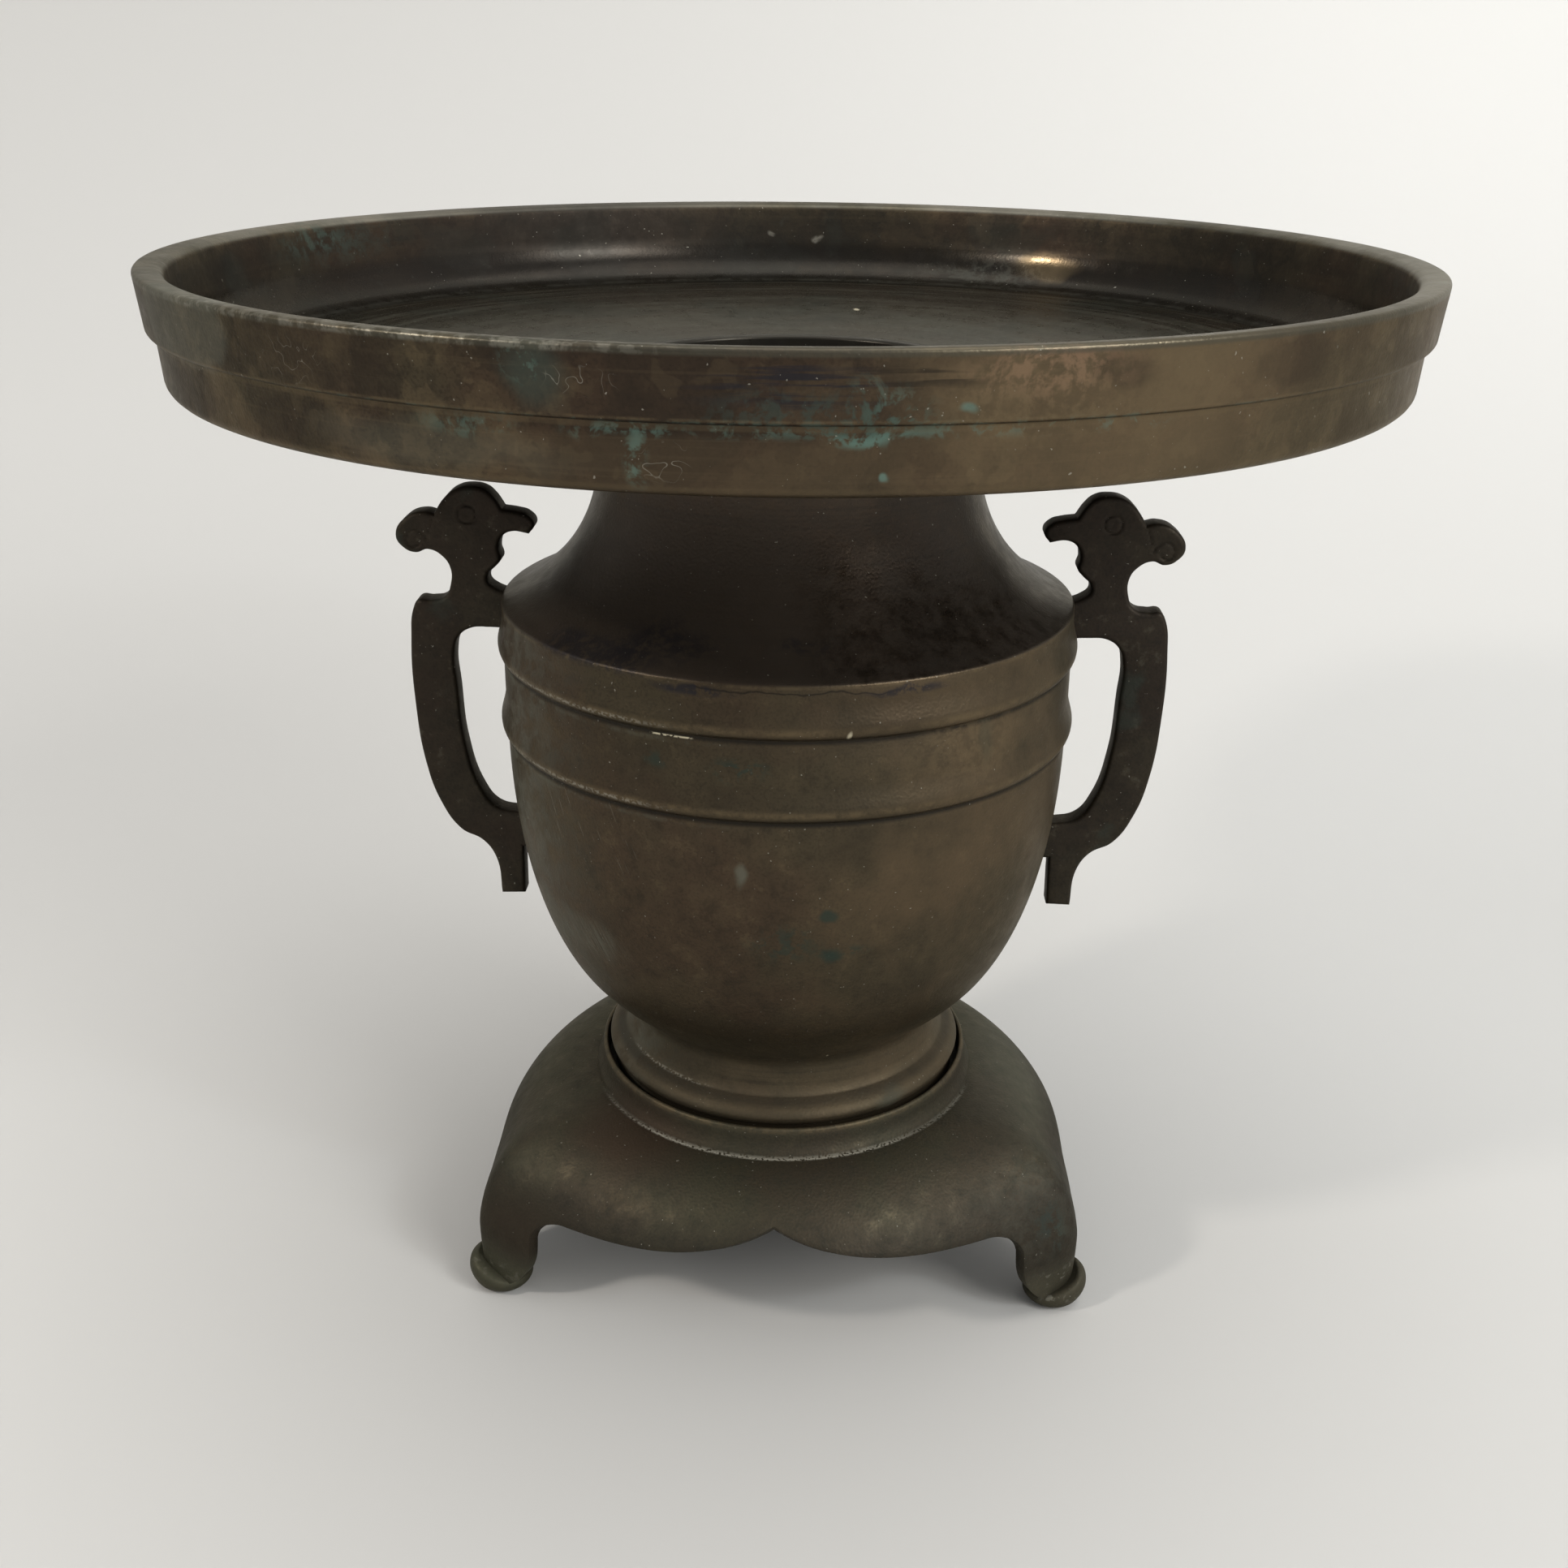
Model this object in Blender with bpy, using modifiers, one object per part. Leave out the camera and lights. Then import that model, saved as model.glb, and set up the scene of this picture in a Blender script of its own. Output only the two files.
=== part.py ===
"""Bronze usubata: a wide stepped dish on a shouldered vase with two bird-head handles, on a tripod stand.

Units are metres and +Z is up. The origin is on the floor, under the middle of the stand.
The camera side of the object faces -Y, the handles stand at -X and +X, and one leg points to +Y.
"""
import math

import bmesh
import bpy
from mathutils import Matrix, Vector

# Fineness of the facets
DISH_STEPS = 52
TURNED_STEPS = 42
CURVE_STEPS = 2
DOME_ROWS = 5
LEG_ROWS = 3
APRON_COLUMNS = 5
ROW_CROWDING = 2.2
COLUMN_CROWDING = 1.25
SECTION_STEPS = 60
WELD_DISTANCE = 0.00001
SHARP_ANGLE = math.radians(35.0)

# Gap left between two castings that rest on or touch each other
FIT_GAP = 0.0003

# Stand: the seat that carries the vase and the collar around it
SEAT_HEIGHT = 0.0500
SEAT_THICKNESS = 0.0060
SEAT_BORE_RADIUS = 0.0380
COLLAR_CLEARANCE = 0.0008
COLLAR_LIP_WIDTH = 0.0012
COLLAR_FLARE = 0.0023
COLLAR_RISE = 0.0062
COLLAR_DROP = 0.0014

# Stand: dome, apron and legs
LEG_COUNT = 3
LEG_DIRECTION = math.radians(90.0)
APRON_REACH = 0.0810
APRON_KNEE_DROP = 0.0266
APRON_PULLS = ((0.42, 0.02), (0.92, 0.416))
LEG_REACH = 0.0930
LEG_KNEE_DROP = 0.0286
LEG_PULLS = ((0.46, 0.01), (0.92, 0.19))
LEG_BLEND_ANGLE = math.radians(10.0)
LEG_CREST_ANGLE = math.radians(3.0)
LEG_HALF_WIDTH = 0.0168
ANKLE_HALF_WIDTH = 0.0084
ANKLE_TAPER = 3.0
ANKLE_INSET = 0.0016
LEG_END_HEIGHT = 0.0045
ARCH_CORNER_WIDTH = 0.0117
ARCH_CORNER_DROP = 0.0079
LOBE_DROP = 0.0187
CUSP_RISE = 0.0106
CUSP_PULLS = ((0.20, 0.55), (0.40, 0.20))
SHEET_THICKNESS = 0.0040
TOE_RADIUS = 0.0086
TOE_HEIGHT = 0.0102
TOE_PAD_SHARE = 0.60
TOE_INSET = 0.0051
TOE_SEGMENTS = 10
TOE_RINGS = 8

# Vase: heights of its mouldings, each measured up from the one below
FOOT_RING_HEIGHT = 0.0110
COVE_RISE = 0.0075
BELLY_SPRING = 0.0147
BELLY_HEIGHT = 0.0697
RING_SPACING = 0.0201
SHOULDER_BAND = 0.0129
FLARE_HEIGHT = 0.0318
NECK_HEIGHT = 0.0207

# Vase: radii and walls
FOOT_RING_RADIUS = 0.0493
FOOT_ROUNDING = 0.0041
FOOT_RECESS_WALL = 0.0078
FOOT_RECESS_DEPTH = 0.0107
COVE_RADIUS = 0.0436
BELLY_BASE_RADIUS = 0.0555
BELLY_TOP_PULL = 0.525
BELLY_FOOT_PULL = (0.49, 0.136)
BAND_RADIUS = 0.0734
RING_SWELL = 0.0014
RING_HEIGHT = 0.0090
NECK_RADIUS = 0.0477
NECK_LIP = 0.0014
VASE_WALL = 0.0030
NECK_WALL = 0.0027
VASE_FLOOR = 0.0035

# Dish
RIM_RADIUS = 0.1500
RIM_WIDTH = 0.0077
RIM_BEVEL = 0.0008
DISH_DEPTH = 0.0220
DISH_WALL_TAPER = 0.0022
DISH_FILLET = 0.0095
DISH_FOOT_BEVEL = 0.0023
FLOOR_FALL = 0.0043
DISH_FLOOR = 0.0040
THROAT_THICKNESS = 0.0057
UPPER_BAND_HEIGHT = 0.0128
STEP_WIDTH = 0.0019
BAND_TAPER = 0.0014
SEAT_RING_WIDTH = 0.0070
SPIGOT_WALL = 0.0027
SPIGOT_LENGTH = 0.0270

# Handles
HANDLE_HEIGHT = 0.1140
HANDLE_THICKNESS = 0.0072

# Heights and radii that follow from the sizes above
VASE_BASE = SEAT_HEIGHT + FIT_GAP
FOOT_TOP = VASE_BASE + FOOT_RING_HEIGHT
COVE_LEVEL = FOOT_TOP + COVE_RISE
BELLY_BASE = COVE_LEVEL + BELLY_SPRING
LOWER_RING = BELLY_BASE + BELLY_HEIGHT
UPPER_RING = LOWER_RING + RING_SPACING
SHOULDER = UPPER_RING + SHOULDER_BAND
WAIST = SHOULDER + FLARE_HEIGHT
NECK_TOP = WAIST + NECK_HEIGHT
DISH_SEAT = NECK_TOP + FIT_GAP

NECK_BORE = NECK_RADIUS - NECK_WALL
SPIGOT_RADIUS = NECK_BORE - FIT_GAP
THROAT_RADIUS = SPIGOT_RADIUS - SPIGOT_WALL
COLLAR_BORE = FOOT_RING_RADIUS + COLLAR_CLEARANCE
COLLAR_TOP_RADIUS = COLLAR_BORE + COLLAR_LIP_WIDTH
COLLAR_FOOT_RADIUS = COLLAR_TOP_RADIUS + COLLAR_FLARE
COLLAR_FOOT = SEAT_HEIGHT - COLLAR_DROP
LEG_ANGLE = LEG_HALF_WIDTH / LEG_REACH


def bezier(points, steps):
    """Points of a cubic curve through its first and last point, pulled by the two between."""
    a, b, c, d = (Vector(point) for point in points)
    found = []
    for step in range(steps + 1):
        t = step / steps
        s = 1.0 - t
        found.append(tuple(a * s ** 3 + 3 * b * s * s * t + 3 * c * s * t * t + d * t ** 3))
    return found


def arc(centre, radii, start, end, steps):
    """Points of an elliptical arc, its angles in degrees from the +r direction."""
    found = []
    for step in range(steps + 1):
        angle = math.radians(start + (end - start) * step / steps)
        found.append((centre[0] + radii[0] * math.cos(angle), centre[1] + radii[1] * math.sin(angle)))
    return found


def bronze(name, colour, roughness):
    """Dark patinated bronze."""
    material = bpy.data.materials.new(name)
    material.use_nodes = True
    shader = material.node_tree.nodes["Principled BSDF"]
    shader.inputs["Base Color"].default_value = (*colour, 1.0)
    shader.inputs["Metallic"].default_value = 0.7
    shader.inputs["Roughness"].default_value = roughness
    return material


def add_object(name, mesh, collection, material=None):
    """Link a mesh to a collection as a named object."""
    piece = bpy.data.objects.new(name, mesh)
    collection.objects.link(piece)
    if material is not None:
        mesh.materials.append(material)
    return piece


def make_cutter(piece):
    """Keep a cutting or joining shape out of the renders and show it as wire."""
    piece.hide_render = True
    piece.display_type = "WIRE"
    return piece


def turned(name, profile, collection, material=None, ring=False, steps=TURNED_STEPS):
    """Solid of revolution; the profile runs down its outer side, and a ring's profile is a closed loop."""
    mesh = bpy.data.meshes.new(name)
    shape = bmesh.new()
    points = [shape.verts.new((radius, 0.0, height)) for radius, height in profile]
    for first, second in zip(points, points[1:]):
        shape.edges.new((first, second))
    if ring:
        shape.edges.new((points[-1], points[0]))
    shape.to_mesh(mesh)
    shape.free()
    piece = add_object(name, mesh, collection, material)
    turn = piece.modifiers.new("Turn", "SCREW")
    turn.steps = steps
    turn.render_steps = steps
    turn.use_merge_vertices = True
    turn.merge_threshold = WELD_DISTANCE
    turn.use_smooth_shade = True
    return piece


def boolean(piece, other, operation):
    """Join or cut one solid with another, live on the object."""
    change = piece.modifiers.new(operation.title(), "BOOLEAN")
    change.operation = operation
    change.solver = "EXACT"
    change.object = other
    return change


def ring_moulding(crease, top_radius):
    """Swelling band that ends below in a crease, listed downwards."""
    return [
        (top_radius, crease + RING_HEIGHT),
        (top_radius + 0.50 * RING_SWELL, crease + 0.62 * RING_HEIGHT),
        (top_radius + RING_SWELL, crease + 0.32 * RING_HEIGHT),
        (top_radius + 0.75 * RING_SWELL, crease + 0.10 * RING_HEIGHT),
        (top_radius, crease),
    ]


def vase_outside():
    """Outer profile of the vase, from the top of the neck down to the foot ring's sole."""
    points = [(NECK_RADIUS + NECK_LIP, NECK_TOP)]
    points += bezier(
        [
            (NECK_RADIUS, WAIST),
            (NECK_RADIUS, WAIST - 0.44 * FLARE_HEIGHT),
            (NECK_RADIUS + 0.35 * (BAND_RADIUS - NECK_RADIUS), SHOULDER + 0.21 * FLARE_HEIGHT),
            (BAND_RADIUS, SHOULDER),
        ],
        5,
    )
    points += ring_moulding(UPPER_RING, BAND_RADIUS)
    points += ring_moulding(LOWER_RING, BAND_RADIUS)
    points += bezier(
        [
            (BAND_RADIUS - 0.1 * RING_SWELL, LOWER_RING - 0.02 * BELLY_HEIGHT),
            (BAND_RADIUS - 0.3 * RING_SWELL, LOWER_RING - BELLY_TOP_PULL * BELLY_HEIGHT),
            (
                BELLY_BASE_RADIUS + BELLY_FOOT_PULL[0] * (BAND_RADIUS - BELLY_BASE_RADIUS),
                BELLY_BASE + BELLY_FOOT_PULL[1] * BELLY_HEIGHT,
            ),
            (BELLY_BASE_RADIUS, BELLY_BASE),
        ],
        6,
    )
    points += bezier(
        [
            (BELLY_BASE_RADIUS, BELLY_BASE),
            (COVE_RADIUS + 0.45 * (BELLY_BASE_RADIUS - COVE_RADIUS), COVE_LEVEL + 0.45 * BELLY_SPRING),
            (COVE_RADIUS, COVE_LEVEL + 0.40 * BELLY_SPRING),
            (COVE_RADIUS, COVE_LEVEL),
        ],
        3,
    )[1:]
    foot_top_radius = FOOT_RING_RADIUS - FOOT_ROUNDING
    points.append((COVE_RADIUS + 0.35 * (foot_top_radius - COVE_RADIUS), FOOT_TOP + 0.35 * COVE_RISE))
    points += arc(
        (foot_top_radius, FOOT_TOP - FOOT_ROUNDING),
        (FOOT_ROUNDING, FOOT_ROUNDING),
        90,
        0,
        2,
    )
    points.append((FOOT_RING_RADIUS, VASE_BASE))
    return points


def vase_inside():
    """Inner profile of the vase, from the middle of its floor up to the mouth of the neck."""
    floor = VASE_BASE + FOOT_RECESS_DEPTH + VASE_FLOOR
    points = [
        (0.0, floor),
        (COVE_RADIUS - 1.6 * VASE_WALL, floor),
        (COVE_RADIUS - VASE_WALL, COVE_LEVEL),
    ]
    belly_radius = BELLY_BASE_RADIUS - VASE_WALL
    points += bezier(
        [
            (belly_radius, BELLY_BASE + 0.3 * VASE_WALL),
            (
                belly_radius + BELLY_FOOT_PULL[0] * (BAND_RADIUS - BELLY_BASE_RADIUS),
                BELLY_BASE + BELLY_FOOT_PULL[1] * BELLY_HEIGHT + 0.5 * VASE_WALL,
            ),
            (BAND_RADIUS - VASE_WALL, LOWER_RING - BELLY_TOP_PULL * BELLY_HEIGHT),
            (BAND_RADIUS - VASE_WALL, LOWER_RING),
        ],
        4,
    )
    points += bezier(
        [
            (BAND_RADIUS - VASE_WALL, SHOULDER - VASE_WALL),
            (NECK_BORE + 0.35 * (BAND_RADIUS - NECK_RADIUS), SHOULDER + 0.21 * FLARE_HEIGHT - VASE_WALL),
            (NECK_BORE, WAIST - 0.44 * FLARE_HEIGHT - VASE_WALL),
            (NECK_BORE, WAIST - VASE_WALL),
        ],
        4,
    )
    points.append((NECK_BORE, NECK_TOP))
    return points


def build_vase(collection, material):
    """Hollow vase with a recessed sole inside the foot ring."""
    recess_radius = FOOT_RING_RADIUS - FOOT_RECESS_WALL
    recess_ceiling = VASE_BASE + FOOT_RECESS_DEPTH
    sole = [(recess_radius, VASE_BASE), (recess_radius, recess_ceiling), (0.0, recess_ceiling)]
    return turned("vase_body", vase_inside() + vase_outside() + sole, collection, material)


def build_dish(collection, material):
    """Stepped dish whose floor falls to the throat, with the spigot under it."""
    throat_edge = DISH_SEAT + THROAT_THICKNESS
    floor_at_wall = throat_edge + FLOOR_FALL
    rim = floor_at_wall + DISH_DEPTH
    inner_rim = RIM_RADIUS - RIM_WIDTH
    inner_foot = inner_rim - DISH_WALL_TAPER
    step = rim - UPPER_BAND_HEIGHT
    band_foot = RIM_RADIUS - BAND_TAPER
    lower_top = band_foot - STEP_WIDTH
    lower_foot = lower_top - 0.7 * BAND_TAPER
    underside = floor_at_wall - DISH_FLOOR
    profile = [
        (THROAT_RADIUS, DISH_SEAT - SPIGOT_LENGTH),
        (THROAT_RADIUS, throat_edge - RIM_BEVEL),
        (THROAT_RADIUS + RIM_BEVEL, throat_edge),
    ]
    profile += arc(
        (inner_foot - DISH_FILLET, floor_at_wall + DISH_FILLET),
        (DISH_FILLET, DISH_FILLET),
        -90,
        0,
        3,
    )
    profile += [
        (inner_rim, rim - RIM_BEVEL),
        (inner_rim + RIM_BEVEL, rim),
        (RIM_RADIUS - RIM_BEVEL, rim),
        (RIM_RADIUS, rim - RIM_BEVEL),
        (band_foot, step + RIM_BEVEL),
        (band_foot - RIM_BEVEL, step),
        (lower_top, step),
        (lower_foot, underside + DISH_FOOT_BEVEL),
        (lower_foot - DISH_FOOT_BEVEL, underside),
        (SPIGOT_RADIUS + SEAT_RING_WIDTH, DISH_SEAT),
        (SPIGOT_RADIUS, DISH_SEAT),
        (SPIGOT_RADIUS, DISH_SEAT - SPIGOT_LENGTH),
    ]
    return turned("dish", profile, collection, material, ring=True, steps=DISH_STEPS)


# Outline of a handle, in millimetres on a handle 114 mm high, measured from the shoulder's edge:
# outwards, upwards, and whether the line turns a corner there. It starts and ends inside the vase.
OUTLINE_HEIGHT = 114.0
CHIN = [
    (-16.0, -0.6, True),
    (-0.4, -0.6, True),
    (2.0, 0.4, False),
    (4.0, 2.2, False),
    (3.7, 4.6, True),
    (1.6, 6.4, False),
    (0.3, 8.2, False),
    (0.8, 11.0, False),
]
BEAK = [
    (-0.2, 14.0, False),
    (-2.6, 15.4, False),
    (-7.2, 14.9, True),
    (-8.7, 17.4, False),
    (-7.0, 19.8, False),
    (-4.2, 20.7, False),
    (-0.7, 21.2, True),
]
CROWN = [
    (1.4, 24.4, False),
    (3.6, 26.3, False),
    (7.2, 27.0, False),
    (11.0, 26.2, False),
    (14.2, 23.6, False),
    (16.8, 19.8, True),
]
CREST_CURL = [
    (19.6, 20.3, False),
    (24.0, 18.8, False),
    (27.1, 14.0, False),
    (25.2, 10.7, False),
    (22.2, 9.5, False),
    (19.0, 10.4, False),
]
NAPE = [
    (15.4, 8.6, False),
    (13.6, 5.6, False),
    (13.7, 1.4, False),
    (15.4, -2.0, False),
]
SHANK = [
    (19.4, -3.0, False),
    (22.4, -3.0, False),
    (23.7, -4.8, False),
    (25.1, -13.6, False),
    (25.2, -32.6, False),
    (23.6, -48.4, False),
    (20.4, -59.6, False),
    (15.2, -67.9, False),
]
TAIL = [
    (9.3, -71.3, False),
    (6.1, -76.4, False),
    (5.0, -87.0, True),
    (-1.5, -86.8, True),
    (-1.7, -72.8, True),
    (-22.0, -72.8, True),
]
LOOP = [
    (-22.0, -62.4, True),
    (0.0, -62.4, False),
    (5.2, -61.0, False),
    (8.9, -56.0, False),
    (12.5, -43.0, False),
    (13.6, -27.0, False),
    (13.9, -17.4, False),
    (12.6, -13.0, False),
    (9.4, -10.6, False),
    (4.0, -10.2, False),
    (0.0, -10.4, True),
    (-16.0, -10.4, True),
]


def handle_outline(collection):
    """Flat bar of a handle as a filled curve, standing in the XZ plane."""
    scale = HANDLE_HEIGHT / OUTLINE_HEIGHT
    outline = CHIN + BEAK + CROWN + CREST_CURL + NAPE + SHANK + TAIL + LOOP
    curve = bpy.data.curves.new("handle_outline", "CURVE")
    curve.dimensions = "2D"
    curve.fill_mode = "BOTH"
    curve.extrude = 0.5 * HANDLE_THICKNESS
    spline = curve.splines.new("BEZIER")
    spline.resolution_u = CURVE_STEPS
    spline.use_cyclic_u = True
    spline.bezier_points.add(len(outline) - 1)
    for point, (outwards, upwards, corner) in zip(spline.bezier_points, outline):
        kind = "VECTOR" if corner else "AUTO"
        point.co = (BAND_RADIUS + outwards * scale, SHOULDER + upwards * scale, 0.0)
        point.handle_left_type = kind
        point.handle_right_type = kind
    bar = bpy.data.objects.new("handle_outline", curve)
    bar.matrix_world = Matrix.Rotation(math.radians(90.0), 4, "X")
    collection.objects.link(bar)
    bpy.context.view_layer.update()
    return bar


def build_handles(collection, cutters, material):
    """Two equal handles on opposite sides, their roots cut to the vase with a small gap."""
    outside = [(radius + FIT_GAP, height) for radius, height in vase_outside()]
    body = [(0.0, NECK_TOP)] + outside + [(0.0, VASE_BASE)]
    cutter = make_cutter(turned("vase_clearance", body, cutters))
    bar = handle_outline(cutters)
    evaluated = bar.evaluated_get(bpy.context.evaluated_depsgraph_get())
    for name, side in (("handle_right", 0.0), ("handle_left", math.pi)):
        mesh = bpy.data.meshes.new_from_object(evaluated)
        mesh.name = name
        shape = bmesh.new()
        shape.from_mesh(mesh)
        bmesh.ops.remove_doubles(shape, verts=shape.verts, dist=WELD_DISTANCE)
        bmesh.ops.recalc_face_normals(shape, faces=shape.faces)
        shape.to_mesh(mesh)
        shape.free()
        mesh.shade_smooth()
        mesh.set_sharp_from_angle(angle=SHARP_ANGLE)
        handle = add_object(name, mesh, collection, material)
        handle.matrix_world = Matrix.Rotation(side, 4, "Z") @ bar.matrix_world
        boolean(handle, cutter, "DIFFERENCE")
    bpy.data.objects.remove(bar)


def dome_section(reach, drop, pulls):
    """Curve from the collar's foot out and down to the reach, from its two pulls as shares of both."""
    span = reach - COLLAR_FOOT_RADIUS
    middle = [(COLLAR_FOOT_RADIUS + out * span, COLLAR_FOOT - down * drop) for out, down in pulls]
    return [(COLLAR_FOOT_RADIUS, COLLAR_FOOT)] + middle + [(reach, COLLAR_FOOT - drop)]


def radius_at(curve, height):
    """Radius where a falling curve passes a height; below the curve's end the radius stays."""
    points = bezier(curve, SECTION_STEPS)
    for (first, high), (second, low) in zip(points, points[1:]):
        if low <= height <= high:
            return first + (second - first) * (high - height) / (high - low)
    return points[-1][0]


def dome_radius(from_leg, height):
    """Radius of the stand's outside at an angle from the nearest leg's middle."""
    apron = radius_at(dome_section(APRON_REACH, APRON_KNEE_DROP, APRON_PULLS), height)
    leg = radius_at(dome_section(LEG_REACH, LEG_KNEE_DROP, LEG_PULLS), height)
    knee = COLLAR_FOOT - LEG_KNEE_DROP
    if height < knee:
        leg -= ANKLE_INSET * ((knee - height) / knee) ** 2
    share = math.exp((LEG_CREST_ANGLE - math.hypot(from_leg, LEG_CREST_ANGLE)) / LEG_BLEND_ANGLE)
    return apron + (leg - apron) * share


def apron_edge(share):
    """Height of the apron's lower edge, from 0 at the cusp to 1 at the leg's arch."""
    lobe = COLLAR_FOOT - LOBE_DROP
    pulls = [(along, lobe + up * CUSP_RISE) for along, up in CUSP_PULLS]
    points = bezier([(0.0, lobe + CUSP_RISE)] + pulls + [(1.0, lobe)], SECTION_STEPS)
    for (first, high), (second, low) in zip(points, points[1:]):
        if first <= share <= second:
            return high + (low - high) * (share - first) / (second - first)
    return lobe


def stand_columns():
    """Angle from the leg's middle and lower edge of each column of a sixth of the stand."""
    sixth = math.pi / LEG_COUNT
    lobe = COLLAR_FOOT - LOBE_DROP
    arch_angle = LEG_ANGLE + ARCH_CORNER_WIDTH / LEG_REACH
    columns = [(0.0, lobe - ARCH_CORNER_DROP), (0.5 * LEG_ANGLE, lobe - ARCH_CORNER_DROP)]
    for turn in (0.0, 30.0, 60.0, 90.0):
        across = 1.0 - math.cos(math.radians(turn))
        rise = math.sin(math.radians(turn))
        angle = LEG_ANGLE + (arch_angle - LEG_ANGLE) * across
        columns.append((angle, lobe - ARCH_CORNER_DROP * (1.0 - rise)))
    for step in range(1, APRON_COLUMNS + 1):
        share = (1.0 - step / APRON_COLUMNS) ** COLUMN_CROWDING
        columns.append((sixth - (sixth - arch_angle) * share, apron_edge(share)))
    return columns


def stand_sheet():
    """Outer skin of dome, apron and legs, as one open surface round the stand."""
    half = stand_columns()
    whole = [(-angle, low) for angle, low in reversed(half[1:])] + half[:-1]
    taper = 1.0 - ANKLE_HALF_WIDTH / LEG_HALF_WIDTH
    shape = bmesh.new()

    def place(radius, direction, height):
        return shape.verts.new((radius * math.cos(direction), radius * math.sin(direction), height))

    columns = []
    for leg in range(LEG_COUNT):
        middle = LEG_DIRECTION + 2.0 * math.pi * leg / LEG_COUNT
        for angle, low in whole:
            column = [place(0.5 * (COLLAR_BORE + COLLAR_FOOT_RADIUS), middle + angle, COLLAR_FOOT)]
            for row in range(1, DOME_ROWS + 1):
                height = COLLAR_FOOT + (low - COLLAR_FOOT) * (row / DOME_ROWS) ** ROW_CROWDING
                column.append(place(dome_radius(abs(angle), height), middle + angle, height))
            if abs(angle) <= LEG_ANGLE:
                for row in range(1, LEG_ROWS + 1):
                    share = row / LEG_ROWS
                    height = low + (LEG_END_HEIGHT - low) * share
                    narrowed = angle * (1.0 - taper * share ** ANKLE_TAPER)
                    column.append(place(dome_radius(abs(narrowed), height), middle + narrowed, height))
            columns.append(column)
    for first, second in zip(columns, columns[1:] + columns[:1]):
        for index in range(min(len(first), len(second)) - 1):
            shape.faces.new((first[index], first[index + 1], second[index + 1], second[index]))
    return shape


def build_stand(collection, cutters, material):
    """Tripod stand: the skin with its thickness, joined to the seat ring and the toes."""
    mesh = bpy.data.meshes.new("stand")
    shape = stand_sheet()
    shape.to_mesh(mesh)
    shape.free()
    mesh.shade_smooth()
    stand = add_object("stand", mesh, collection, material)
    skin = stand.modifiers.new("Thickness", "SOLIDIFY")
    skin.thickness = SHEET_THICKNESS
    skin.offset = -1.0
    skin.use_even_offset = True
    seat = [
        (SEAT_BORE_RADIUS, SEAT_HEIGHT),
        (COLLAR_BORE, SEAT_HEIGHT),
        (COLLAR_BORE, SEAT_HEIGHT + 0.9 * COLLAR_RISE),
        (COLLAR_TOP_RADIUS, SEAT_HEIGHT + COLLAR_RISE),
        (COLLAR_FOOT_RADIUS, COLLAR_FOOT),
        (COLLAR_FOOT_RADIUS, SEAT_HEIGHT - SEAT_THICKNESS),
        (SEAT_BORE_RADIUS, SEAT_HEIGHT - SEAT_THICKNESS),
    ]
    boolean(stand, make_cutter(turned("seat_ring", seat, cutters, ring=True)), "UNION")
    for leg in range(LEG_COUNT):
        direction = LEG_DIRECTION + 2.0 * math.pi * leg / LEG_COUNT
        boolean(stand, build_toe(direction, leg, cutters), "UNION")
    return stand


def build_toe(direction, number, cutters):
    """Rounded toe with a small flat sole on the floor."""
    mesh = bpy.data.meshes.new("toe_%d" % number)
    shape = bmesh.new()
    bmesh.ops.create_uvsphere(shape, u_segments=TOE_SEGMENTS, v_segments=TOE_RINGS, radius=TOE_RADIUS)
    drop = math.sqrt(1.0 - TOE_PAD_SHARE ** 2)
    stretch = TOE_HEIGHT / (TOE_RADIUS * (1.0 + drop))
    reach = LEG_REACH - TOE_INSET
    centre = (reach * math.cos(direction), reach * math.sin(direction), drop * stretch * TOE_RADIUS)
    bmesh.ops.scale(shape, verts=shape.verts, vec=(1.0, 1.0, stretch))
    turn = Matrix.Rotation(direction + math.pi / TOE_SEGMENTS, 3, "Z")
    bmesh.ops.rotate(shape, verts=shape.verts, matrix=turn)
    bmesh.ops.translate(shape, verts=shape.verts, vec=centre)
    cut = bmesh.ops.bisect_plane(
        shape,
        geom=shape.verts[:] + shape.edges[:] + shape.faces[:],
        plane_co=(0.0, 0.0, 0.0),
        plane_no=(0.0, 0.0, -1.0),
        clear_outer=True,
    )
    rim = [item for item in cut["geom_cut"] if isinstance(item, bmesh.types.BMEdge)]
    bmesh.ops.contextual_create(shape, geom=rim)
    bmesh.ops.recalc_face_normals(shape, faces=shape.faces)
    shape.to_mesh(mesh)
    shape.free()
    return make_cutter(add_object(mesh.name, mesh, cutters))


def main():
    for old in list(bpy.data.objects):
        bpy.data.objects.remove(old)
    usubata = bpy.data.collections.new("usubata")
    cutters = bpy.data.collections.new("cutters")
    bpy.context.scene.collection.children.link(usubata)
    bpy.context.scene.collection.children.link(cutters)
    build_dish(usubata, bronze("bronze_dish", (0.060, 0.045, 0.030), 0.42))
    build_vase(usubata, bronze("bronze_body", (0.055, 0.045, 0.030), 0.40))
    build_handles(usubata, cutters, bronze("bronze_handle", (0.035, 0.030, 0.022), 0.50))
    build_stand(usubata, cutters, bronze("bronze_stand", (0.045, 0.038, 0.026), 0.48))


main()
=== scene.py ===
"""Looks of the bronze usubata vase: its castings in full detail, their patina, the studio and the camera.

Units are metres and +Z is up. The camera side faces -Y, the handles stand at -X and +X, and one leg
points to +Y.
"""

import math

import bmesh
import bpy
from mathutils import Matrix, Vector


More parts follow.
